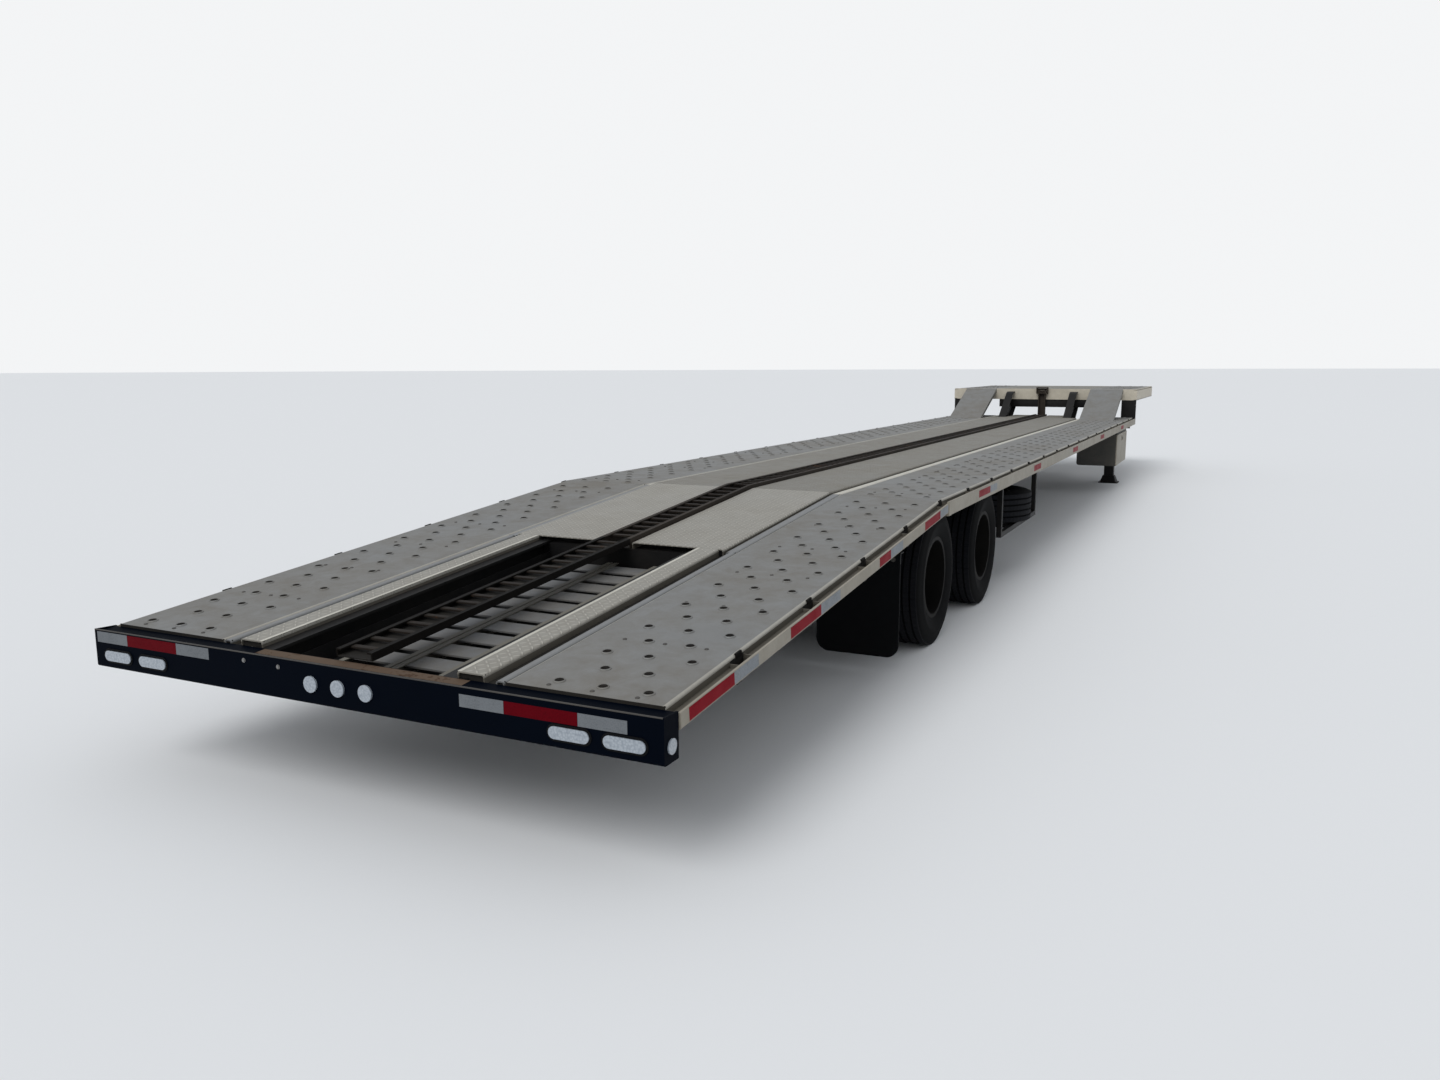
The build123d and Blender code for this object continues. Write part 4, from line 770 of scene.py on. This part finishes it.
PLATE_RAISE = 0.012
MEMBER_DROP = 0.024
TRACK_EDGE = 0.093
PLATE_EDGE = 0.590
PLATE_FOLD = 0.036
CENTRE_EDGE = 0.650
BAND_FOLDS = (0.030, 0.040)
BAND_CAP = (-0.030, -0.001)
CAP_BACK = 0.006
GUTTER_TOP = -0.022
GUTTER_SHADE_FLOOR = -0.026
GUTTER_TUCK = 0.004
GUTTER = (0.584, 0.602)
WELL_GUTTER = (0.561, 0.616)
WELL_EDGE = 0.455
WELL_FRONT = 1.850
STRIP_EDGE = 0.567
STRIP_FOLDS = (0.030, 0.034)
NECK_START = 13.000
NECK_EDGE = 0.387
STRIP_START = SILL_LIP + 0.004
STRIP_CAP = (-0.018, 0.010, SILL_LIP + 0.012)
# A pale strip along the well strip's inner edge is a painted highlight.
WELL_LIP_HIGHLIGHT = ((WELL_EDGE + 0.001, SILL_LIP + 0.006, PLATE_RAISE - 0.001),
            (WELL_EDGE + 0.016, WELL_FRONT - 0.004, PLATE_RAISE + 0.0006))


def deck_band(start, stop, gutter, finish):
    """Smooth strip beside the runway, and the gutter between it and the chequer plate, floored with a near-black sheet
    of painted shade.
    """
    inner, outer = gutter
    band = folded_plate(outer, CENTRE_EDGE, 0.0, *BAND_FOLDS, start, stop, finish)
    cap = shade_end_cap(outer, CENTRE_EDGE, *BAND_CAP, start + CAP_BACK)
    outer += GUTTER_TUCK
    # The gutter's floor is a near-black sheet of painted shade.
    floor = [(inner, GUTTER_TOP), (inner, GUTTER_SHADE_FLOOR), (outer, GUTTER_SHADE_FLOOR), (outer, GUTTER_TOP)]
    return [*band, cap, prism(floor, start, stop, "hole_lining")]


class TRAILER_OT_centre_deck(Operator):
    """Makes the chequer plates, the well strips and the smooth bands beside the runways"""
    bl_idname = "trailer.centre_deck"
    bl_label = "Centre deck"

    def execute(self, context):
        drop_in, well_stop = PLATE_RAISE + MEMBER_DROP, WELL_FRONT - DECK_JOINT
        wide = (TRACK_EDGE, PLATE_EDGE, PLATE_RAISE, drop_in, PLATE_FOLD)
        tail = folded_plate(*wide, WELL_FRONT, TAIL_STOP, "well_chequer")
        tail += deck_band(WELL_FRONT, TAIL_STOP, GUTTER, "smooth_band")
        level = folded_plate(*wide, LEVEL_START, NECK_START - DECK_JOINT, "chequer_plate")
        level += deck_band(LEVEL_START, LEVEL_END, GUTTER, "worn_lip")
        level += folded_plate(TRACK_EDGE, NECK_EDGE, PLATE_RAISE, drop_in, drop_in, NECK_START, LEVEL_END,
                              "chequer_plate")
        plates = joined("chequer_deck", [both_sides("plate", TAIL, tail), both_sides("plate", LEVEL, level)])
        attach(plates, "chassis")
        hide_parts("centre_plates")
        flank = folded_plate(WELL_EDGE, STRIP_EDGE, PLATE_RAISE, *STRIP_FOLDS, STRIP_START, well_stop, "well_chequer")
        # The pale strip on the well edge is a painted highlight.
        flank += [slab(*WELL_LIP_HIGHLIGHT, "worn_lip"), shade_end_cap(WELL_EDGE, STRIP_EDGE, *STRIP_CAP)]
        flank += deck_band(SILL_LIP, well_stop, WELL_GUTTER, "smooth_band")
        strips = both_sides("chequer_strips", TAIL, flank)
        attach(strips, "chassis")
        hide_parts("well_strips")
        paint_nodes("chequer_plate", "upper_centre_plate")
        return {"FINISHED"}


TRACK_START = SILL_LIP + 0.003
TRACK_HALF = 0.084
TRACK_RAISE = 0.030
TRACK_FLANGE = 0.022
TRACK_THICK = 0.006
CROSS_PITCH = 0.0965
CROSS_HALF = 0.012
CROSS_THICK = 0.008
# The sheet under the track is near-black painted shade.
SHADE_SHEET_THICK = 0.004
SHADE_SHEET_TUCK = 0.004


def track_ladder(start, stop, foot, finish):
    """Two angle bars with cross bars between them, over a near-black sheet of painted shade as wide as the gap in the
    deck.
    """
    side, top, inside = TRACK_HALF - TRACK_THICK, TRACK_RAISE - TRACK_THICK, TRACK_HALF - TRACK_FLANGE
    right = prism([(side, foot), (side, top), (inside, top), (inside, TRACK_RAISE), (TRACK_HALF, TRACK_RAISE),
                   (TRACK_HALF, foot)], start, stop, finish)
    cross = slab((-side, -CROSS_HALF, top - CROSS_THICK), (side, CROSS_HALF, top), bevel=0.001)
    count = int((stop - start) / CROSS_PITCH)
    first = (start + stop - (count - 1) * CROSS_PITCH) / 2
    reach = TRACK_EDGE + SHADE_SHEET_TUCK if foot < 0 else side
    return [right, mirrored(right), row(cross, count, (0, first, 0), CROSS_PITCH, "track_bars"),
            prism(bar(-reach, reach, foot, foot + SHADE_SHEET_THICK), start, stop, "hole_lining")]


class TRAILER_OT_track(Operator):
    """Makes the centre track's ladder and finishes its riser"""
    bl_idname = "trailer.track"
    bl_label = "Centre track"

    def execute(self, context):
        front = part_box("centre_track")[1].y - REAR
        # In the well the ladder is drawn near-black, a painted shade of the brown track paint.
        tail = track_ladder(TRACK_START, WELL_FRONT, 0.0, "track_black")
        tail += track_ladder(WELL_FRONT, TAIL_STOP, -MEMBER_DROP, "track_paint")
        level = track_ladder(LEVEL_START, front, -MEMBER_DROP, "track_paint")
        track = joined("ladder_track", [moved(joined("tail", tail), TAIL), moved(joined("level", level), LEVEL)])
        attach(track, "chassis")
        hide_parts("centre_track")
        paint_nodes("track_paint", "track_riser")
        return {"FINISHED"}


BOLSTER = ((-0.62, REAR + LEVEL_END + 0.012, UPPER_TOP - 0.262), (0.62, REAR + LEVEL_END + 0.022, UPPER_TOP - 0.150))


class TRAILER_OT_frame(Operator):
    """Finishes the beams, crossmembers, outriggers and step panels, and adds the bolster under the upper deck"""
    bl_idname = "trailer.frame"
    bl_label = "Frame"

    def execute(self, context):
        # The ramp tray takes the near-black frame paint, which also stands in for the deep shade in the well.
        paint_nodes("frame_paint", "main_beams", "crossmembers", "outriggers", "ramp_tray", "step_panels",
                    "flap_hangers", "leg_bracing", "spare_carrier", "gooseneck")
        paint_nodes("pale_paint", "upper_end_beams")
        bolster = slab(*BOLSTER, "frame_paint", bevel=0.002, name="upper_bolster")
        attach(bolster, "chassis")
        return {"FINISHED"}


RAIL_FACE = 1.295
RAIL_OUT = 1.290
RAIL_THICK = 0.006
TAIL_RAIL = (0.074, -0.020)
LEVEL_RAIL = (0.092, -0.012)
UPPER_RAIL = (0.152, -0.008)
RUB_RAIL = (-0.070, -0.018)
RAIL_START = 0.092
RAIL_GAP = 0.012
BRACKET_LONG = 0.054
BRACKET_TOP = -0.010
RECESS = 0.034
LEDGE_THICK = 0.004
FIRST_POCKET = 0.585
POCKET_PITCH = 0.6604
POCKETS = 20
POCKET_HALF = 0.052
# The pocket back and the notch at the plank edge are near-black painted shade.
POCKET_BACK = (-0.003, 0.001)
POCKET_TOP = -0.012
CHEEK_THICK = 0.005
POCKET_SHADE_NOTCH = ((RUNWAY_OUT - 0.004, -0.023, -0.018), (RUNWAY_OUT + 0.004, 0.023, 0.0015))
SHADE_NOTCH_SHIFT = 0.012
RAIL_TAPE_TALL = 0.044
TAIL_TAPE_TOP = -0.022
LEVEL_TAPE_TOP = -0.028
TAPE_THICK = 0.0005
TAIL_TAPE = ((0.147, 0.472, "red"), (0.472, 0.670, "white"), (0.965, 1.281, "red"), (1.281, 1.506, "white"),
             (2.033, 2.203, "red"), (2.203, 2.399, "white"), (2.794, 3.094, "red"), (3.094, 3.262, "white"))
LEVEL_TAPE = ((4.033, 4.349, "red"), (4.349, 4.560, "white"), (5.9, 6.2, "red"), (7.9, 8.2, "red"),
              (9.9, 10.2, "red"), (11.9, 12.2, "red"))


def rail_run(depth, top, start, stop, pockets):
    """Side rail with its recessed ledge, open at each stake pocket, and the pocket's cheeks, back and head; the back
    and the head are near-black painted shade.
    """
    inside, foot = RAIL_OUT - RAIL_THICK, RAIL_THICK - depth

    def at_pockets(low, high, finish, shift=0.0):
        block = slab((low[0], min(low[1], high[1]), low[2]), (high[0], max(low[1], high[1]), high[2]))
        return row(block, len(pockets), (0, pockets[0] + shift, 0), pockets[1] - pockets[0], finish)

    parts = [prism(bar(inside, RAIL_OUT, -depth, top), start, stop, "beige_paint"),
             prism(bar(RUNWAY_OUT, inside, -depth, foot), start, stop, "beige_paint")]
    edges = [start] + [edge for s in pockets for edge in (s - POCKET_HALF, s + POCKET_HALF)] + [stop]
    for (low, high) in zip(edges[::2], edges[1::2]):
        # The recessed ledge is olive paint darkened as painted shade.
        parts.append(prism(bar(RUNWAY_OUT, inside, -RECESS - LEDGE_THICK, -RECESS), low, high, "olive_paint"))
    back, front = (RUNWAY_OUT + shift for shift in POCKET_BACK)
    for way in (-1, 1):
        parts.append(at_pockets((front, way * POCKET_HALF, foot), (inside, way * (POCKET_HALF + CHEEK_THICK), top),
                                "olive_paint"))
    # Near-black painted shade at the back of each pocket.
    parts.append(at_pockets((back, -POCKET_HALF, foot), (front, POCKET_HALF, POCKET_TOP), "hole_lining"))
    # Near-black painted shade where the plank edge meets each pocket.
    parts.append(at_pockets(*POCKET_SHADE_NOTCH, "track_black", SHADE_NOTCH_SHIFT))
    return parts


def tape_strips(name, matrix, side, table, face, top):
    """Strips of tape along one side's rail."""
    sign = -1 if side == "left" else 1
    x0, x1 = sorted((sign * face, sign * (face + TAPE_THICK)))
    strips = [slab((x0, start, top - RAIL_TAPE_TALL), (x1, stop, top), f"tape_{tint}")
              for (start, stop, tint) in table]
    strips = moved(joined(f"{name}_{side}", strips), matrix)
    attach(strips, "chassis")


class TRAILER_OT_rails(Operator):
    """Makes the side rails with their stake pockets and puts the reflecting tape on them"""
    bl_idname = "trailer.rails"
    bl_label = "Side rails"

    def execute(self, context):
        stations = [FIRST_POCKET + k * POCKET_PITCH for k in range(POCKETS)]
        tail_pockets = [s / cos(SLOPE) for s in stations if s < TAIL_RUN]
        level_pockets = [s for s in stations if TAIL_RUN < s < LEVEL_END]
        stop, bracket = TAIL_LONG - RAIL_GAP, TAIL_RUN + RAIL_GAP
        tail = rail_run(*TAIL_RAIL, RAIL_START, stop, tail_pockets)
        tail.append(prism(bar(RAIL_OUT, RAIL_FACE, *RUB_RAIL), RAIL_START, stop, "beige_paint"))
        level = rail_run(*LEVEL_RAIL, TAIL_RUN, LEVEL_END, level_pockets)
        level.append(prism(bar(RAIL_OUT, RAIL_FACE, -LEVEL_RAIL[0], BRACKET_TOP), bracket, bracket + BRACKET_LONG,
                           "beige_paint"))
        front, (depth, top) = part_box("side_rails")[1].y - REAR, UPPER_RAIL
        upper = [prism(bar(low, RAIL_OUT, foot, head), LEVEL_END, front, "pale_paint") for (low, foot, head) in (
            (RAIL_OUT - RAIL_THICK, -depth, top), (RUNWAY_OUT, -depth, RAIL_THICK - depth),
            (RUNWAY_OUT, top - RAIL_THICK, top))]
        rails = joined("rub_rails", [both_sides("rail", matrix, parts)
                                     for (matrix, parts) in ((TAIL, tail), (LEVEL, level), (UPPER, upper))])
        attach(rails, "chassis")
        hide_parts("side_rails")
        for side in ("left", "right"):
            tape_strips("tail_tape", TAIL, side, TAIL_TAPE, RAIL_FACE, TAIL_TAPE_TOP)
            tape_strips("level_tape", LEVEL, side, LEVEL_TAPE, RAIL_OUT, LEVEL_TAPE_TOP)
        return {"FINISHED"}


SILL_TAPE_TALL = 0.043
SILL_TAPE = ((0.178, "white"), (0.279, "red"), (0.178, "white"))
SILL_TAPE_STARTS = ((-1.275, -0.008), (0.530, -0.026))
SILL_TAPE_GAP = 0.0001
TAPE_JOINT = 0.001
# A thin lighter strip along the sill's top rear edge is a painted highlight.
SILL_EDGE_HIGHLIGHT = ((0.004 - RAIL_OUT, REAR - 0.0004, SILL_TOP - 0.0035), (RAIL_OUT - 0.004, REAR + 0.004, SILL_TOP + 0.0004))
STUD_START = (-0.457, REAR, 0.553)
STUD_STEP = (0.173, 0, -0.004)
LIP_DROP = 0.012
STAIN = ((-0.435, 0.006, -LIP_DROP - 0.0005), (0.515, 0.078, -LIP_DROP + 0.0006))


class TRAILER_OT_rear_sill(Operator):
    """Finishes the rear cross plate, its lamps and its tape"""
    bl_idname = "trailer.rear_sill"
    bl_label = "Rear sill"

    def execute(self, context):
        paint_nodes("sill_paint", "rear_sill")
        paint_nodes("rubber", "lamp_grommets")
        paint_nodes("lamp_lens", "oval_lamps", "marker_lamps")
        strips, face = [], REAR - SILL_TAPE_GAP
        for (x, top) in SILL_TAPE_STARTS:
            top += SILL_TOP
            for (long, tint) in SILL_TAPE:
                strips.append(slab((x, face - TAPE_THICK, top - SILL_TAPE_TALL), (x + long - TAPE_JOINT, face, top),
                                   f"dull_tape_{tint}"))
                x += long
        studs = grown(bolt_row_tree(), Count=2, Start=STUD_START, Step=STUD_STEP, Turn=(pi / 2, 0, 0),
                      Head_radius=0.006, Head_height=0.003, Finish="cast_grey")
        stain = moved(slab(*STAIN, "rusty_lip"), TAIL)
        # The lighter sill edge strip is a painted highlight.
        worn = joined("sill_fittings", [slab(*SILL_EDGE_HIGHLIGHT, "sill_edge"), studs, stain])
        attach(worn, "chassis")
        strips = joined("sill_tape", strips)
        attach(strips, "chassis")
        return {"FINISHED"}


RAMP_INNER = 0.004
RAMP_OUTER = 0.253
RAMP_START = 0.098
RAMP_LONG = 1.720
RAMP_TOP = -0.090
RAMP_TALL = 0.048
RAMP_FLANGE = 0.026
RAMP_THICK = 0.004
RUNG_HALF = 0.052
RUNG_THICK = 0.009
RUNG_PITCH = 0.152
RUNGS = 11


class TRAILER_OT_loading_ramps(Operator):
    """Makes the two ladder ramps stowed in the tray"""
    bl_idname = "trailer.loading_ramps"
    bl_label = "Loading ramps"

    def execute(self, context):
        foot, sole, under = RAMP_TOP - RAMP_TALL, RAMP_TOP - RAMP_TALL + RAMP_THICK, RAMP_TOP - RAMP_THICK
        parts = []
        for (edge, way) in ((RAMP_INNER, 1), (RAMP_OUTER, -1)):
            lip, web = edge + way * RAMP_FLANGE, edge + way * RAMP_THICK
            channel = [(edge, foot), (edge, RAMP_TOP), (lip, RAMP_TOP), (lip, under), (web, under), (web, sole),
                       (lip, sole), (lip, foot)]
            parts.append(prism(channel, RAMP_START, RAMP_START + RAMP_LONG, "ramp_paint"))
        rung = slab((RAMP_INNER + RAMP_THICK, -RUNG_HALF, under - RUNG_THICK),
                    (RAMP_OUTER - RAMP_THICK, RUNG_HALF, under), bevel=0.002)
        first = RAMP_START + (RAMP_LONG - (RUNGS - 1) * RUNG_PITCH) / 2
        parts.append(row(rung, RUNGS, (0, first, 0), RUNG_PITCH, "ramp_zinc"))
        ramps = both_sides("ladder_ramps", TAIL, parts)
        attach(ramps, "chassis")
        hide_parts("loading_ramps")
        return {"FINISHED"}


DUAL_CENTRE = 0.9485
DUAL_HALF = 0.1375
TREAD_WIDE = 0.205
# Side wall from the rim to the shoulder, as distance from the tyre's middle and radius.
SIDE_WALL = ((0.090, 0.223), (0.104, 0.238), (0.112, 0.262), (0.1195, 0.287), (0.1215, 0.300), (0.1235, 0.308),
             (0.1235, 0.322), (0.121, 0.328), (0.1185, 0.350), (0.114, 0.366), (0.109, 0.378),
             (0.1035, TYRE_RADIUS - 0.008))
GROOVE_FLOOR = 0.101
BLOCK_ROOT = 0.002
NUTS_OUT = DUAL_CENTRE + 0.012
CAP_OUT = DUAL_CENTRE + 0.15


def tyre_mesh(centre, name="tyre"):
    """Tyre with shoulders, side wall rings and a ribbed tread, about the X axis."""
    t = bpy.context.scene.trailer_tyres
    half = [*SIDE_WALL, (GROOVE_FLOOR, TYRE_RADIUS - t.depth)]
    loop = half + [(-x, r) for (x, r) in reversed(half)]
    carcass = turned([(centre + x, r) for (x, r) in loop], 72, "tyre_rubber")
    wide = (TREAD_WIDE - (t.ribs - 1) * t.groove) / t.ribs
    # The tread blocks are lighter bluish rubber, a painted highlight on the ribs.
    blocks = grown(tread_tree(), Ribs=t.ribs, Blocks=t.pitches, Radius=TYRE_RADIUS, Rib_width=wide, Groove=t.groove,
                   Depth=t.depth + BLOCK_ROOT, Finish="tread_rubber")
    return joined(name, [carcass, moved(blocks, Matrix.Translation((centre, 0, 0)))])


def on_axle(name, side, axle, parts):
    """Joins parts drawn on the right of an axle at the origin and puts them on one of its ends."""
    whole = joined(name, parts)
    if side == "left":
        moved(whole, MIRROR)
    return moved(whole, Matrix.Translation((0, REAR + AXLES[axle], TYRE_RADIUS)))


class TRAILER_OT_running_gear(Operator):
    """Makes the tyres and wheel fittings, and finishes the axles and springs"""
    bl_idname = "trailer.running_gear"
    bl_label = "Running gear"

    def execute(self, context):
        for axle in AXLES:
            for side in ("left", "right"):
                body = f"wheels_{axle}_{side}"
                tyres = [tyre_mesh(DUAL_CENTRE + k * DUAL_HALF) for k in (-1, 1)]
                pair = on_axle(f"treaded_tyres_{axle}_{side}", side, axle, tyres)
                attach(pair, body)
                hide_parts(f"tyres_{axle}_{side}")
                paint_nodes("wheel_paint", f"wheel_{axle}_{side}")
                nuts = grown(nut_ring_tree(), Count=context.scene.trailer_tyres.studs, Ring_radius=0.1345,
                             Along_X=NUTS_OUT, Finish="bare_steel")
                cap = grown(nut_ring_tree(), Count=8, Ring_radius=0.062, Nut_radius=0.007, Nut_height=0.006,
                            Along_X=CAP_OUT, Finish="bare_steel")
                nuts = on_axle(f"wheel_nuts_{axle}_{side}", side, axle, [nuts, cap])
                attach(nuts, body)
        paint_nodes("frame_paint", "axles", "brake_chambers", "spring_seats", "spring_hangers", "leaf_springs")
        return {"FINISHED"}


class TRAILER_OT_landing_gear(Operator):
    """Finishes the landing legs"""
    bl_idname = "trailer.landing_gear"
    bl_label = "Landing gear"

    def execute(self, context):
        paint_nodes("frame_paint", "landing_legs", "landing_feet")
        return {"FINISHED"}


HANGER_INSET = 0.02
HANGER_TOP = LEVEL_TOP - 0.090
HANGER_OUT = RAIL_OUT - 0.030
HANDLE = ((-0.002, -0.030, -0.090), (0.0008, 0.030, -0.052))


class TRAILER_OT_toolbox(Operator):
    """Finishes the toolbox and its door, and adds its hanger plate and latch handle"""
    bl_idname = "trailer.toolbox"
    bl_label = "Toolbox"

    def execute(self, context):
        paint_nodes("box_paint", "toolbox_right")
        paint_nodes("beige_paint", "toolbox_door_right")
        low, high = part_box("toolbox_right")
        hanger = slab((low.x + HANGER_INSET, low.y + HANGER_INSET, high.z - 0.001),
                      (HANGER_OUT, high.y - HANGER_INSET, HANGER_TOP), "frame_paint",
                      bevel=0.002, name="box_hanger")
        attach(hanger, "chassis")
        low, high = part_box("toolbox_door_right")
        edge = Vector((high.x, (low.y + high.y) / 2, high.z))
        handle = slab(*[edge + Vector(corner) for corner in HANDLE], "frame_paint", bevel=0.0005, name="latch_handle")
        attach(handle, "toolbox_door")
        return {"FINISHED"}


class TRAILER_OT_spare_wheel(Operator):
    """Makes the spare tyre and finishes its wheel"""
    bl_idname = "trailer.spare_wheel"
    bl_label = "Spare wheel"

    def execute(self, context):
        low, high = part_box("spare_tyre")
        spare = tyre_mesh(0, "treaded_tyre_spare")
        moved(spare, Matrix.Translation((low + high) / 2) @ Matrix.Rotation(pi / 2, 4, "Y"))
        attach(spare, "chassis")
        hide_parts("spare_tyre")
        paint_nodes("wheel_paint", "spare_rim")
        return {"FINISHED"}


FLAP_CENTRE = 0.966
FLAP_BOLTS = 5
FLAP_BOLT_PITCH = 0.095
FLAP_BOLT_HEIGHT = 0.612


class TRAILER_OT_mud_flaps(Operator):
    """Finishes the mud flaps and adds their bolts"""
    bl_idname = "trailer.mud_flaps"
    bl_label = "Mud flaps"

    def execute(self, context):
        paint_nodes("rubber", "mud_flaps")
        back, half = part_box("mud_flaps")[0].y, (FLAP_BOLTS - 1) / 2 * FLAP_BOLT_PITCH
        bolts = joined("flap_bolts", [
            grown(bolt_row_tree(), Count=FLAP_BOLTS, Start=(sign * FLAP_CENTRE - half, back, FLAP_BOLT_HEIGHT),
                  Step=(FLAP_BOLT_PITCH, 0, 0), Turn=(pi / 2, 0, 0), Head_radius=0.010, Head_height=0.006,
                  Finish="screw_steel") for sign in (-1, 1)])
        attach(bolts, "chassis")
        return {"FINISHED"}


class TRAILER_OT_coupling(Operator):
    """Finishes the pickup plate, kingpin and nose couplings"""
    bl_idname = "trailer.coupling"
    bl_label = "Coupling"

    def execute(self, context):
        paint_nodes("grease", "coupler_plate")
        paint_nodes("bare_steel", "kingpin")
        paint_nodes("cast_grey", "hose_couplings", "lamp_socket")
        return {"FINISHED"}


FLOOR_RADIUS = 400
LAMP_SPREAD = 35
LAMP_TURN = (38, -22, 20)


class TRAILER_OT_studio(Operator):
    """Sets up the floor, the light and the camera"""
    bl_idname = "trailer.studio"
    bl_label = "Studio"

    def execute(self, context):
        studio, scene = context.scene.trailer_studio, context.scene
        bm = bmesh.new()
        bmesh.ops.create_circle(bm, cap_ends=True, segments=64, radius=FLOOR_RADIUS)
        new_material("floor").surface({"Base Color": (*studio.floor, 1), "Roughness": 0.9})
        floor = from_bmesh(bm, "floor", name="floor")
        scene.world = world = bpy.data.worlds.new("studio")
        world.use_nodes = True
        g, nodes = Graph(world.node_tree, "ShaderNode"), world.node_tree.nodes
        g.fill(nodes["Background"], {"Color": (0.93, 0.96, 1.0, 1), "Strength": studio.sky})
        backdrop = g.add("ShaderNodeBackground", {"Color": (0.90, 0.91, 0.92, 1)})
        seen = g.out("LightPath", output="Is Camera Ray")
        g.fill(nodes["World Output"], {0: g.out("MixShader", {0: seen, 1: nodes["Background"], 2: backdrop})})
        lamp = placed("soft_lamp", bpy.data.lights.new("soft_lamp", "SUN"))
        lamp.data.energy = studio.lamp
        lamp.data.angle = radians(LAMP_SPREAD)
        lamp.rotation_euler = [radians(turn) for turn in LAMP_TURN]
        scene.camera = camera = placed("camera", bpy.data.cameras.new("camera"))
        camera.data.sensor_width = 36
        camera.data.lens = studio.lens
        camera.data.clip_end = 1000
        place = Matrix.Translation(studio.position)
        for (turn, axis) in ((studio.yaw, "Z"), (pi / 2 - studio.pitch, "X"), (studio.roll, "Z")):
            place = place @ Matrix.Rotation(turn, 4, axis)
        camera.matrix_world = place
        scene.view_settings.view_transform = "Standard"
        return {"FINISHED"}


PIECES = (
    TRAILER_OT_runways, TRAILER_OT_centre_deck, TRAILER_OT_track, TRAILER_OT_frame, TRAILER_OT_rails,
    TRAILER_OT_rear_sill, TRAILER_OT_loading_ramps, TRAILER_OT_running_gear, TRAILER_OT_landing_gear,
    TRAILER_OT_toolbox, TRAILER_OT_spare_wheel, TRAILER_OT_mud_flaps, TRAILER_OT_coupling, TRAILER_OT_studio,
)
GROUPS = {"trailer_paint": TrailerPaint, "trailer_deck": TrailerDeck, "trailer_tyres": TrailerTyres,
          "trailer_studio": TrailerStudio}


class TRAILER_PT_panel(Panel):
    """Lists the trailer's pieces and their sizes"""
    bl_idname = "TRAILER_PT_panel"
    bl_label = "Car transporter trailer"
    bl_space_type = "VIEW_3D"
    bl_region_type = "UI"
    bl_category = "Trailer"

    def draw(self, context):
        for piece in PIECES:
            self.layout.operator(piece.bl_idname)
        for name in GROUPS:
            group, box = getattr(context.scene, name), self.layout.box()
            for key in group.__annotations__:
                box.prop(group, key)


CLASSES = (*GROUPS.values(), *PIECES, TRAILER_PT_panel)


def register():
    for kind in CLASSES:
        bpy.utils.register_class(kind)
    for (name, group) in GROUPS.items():
        setattr(bpy.types.Scene, name, PointerProperty(type=group))


def unregister():
    for name in GROUPS:
        delattr(bpy.types.Scene, name)
    for kind in reversed(CLASSES):
        bpy.utils.unregister_class(kind)


def main():
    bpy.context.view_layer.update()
    register()
    palette()
    for piece in PIECES:
        section, name = piece.bl_idname.split(".")
        getattr(getattr(bpy.ops, section), name)()


if __name__ == "__main__":
    main()
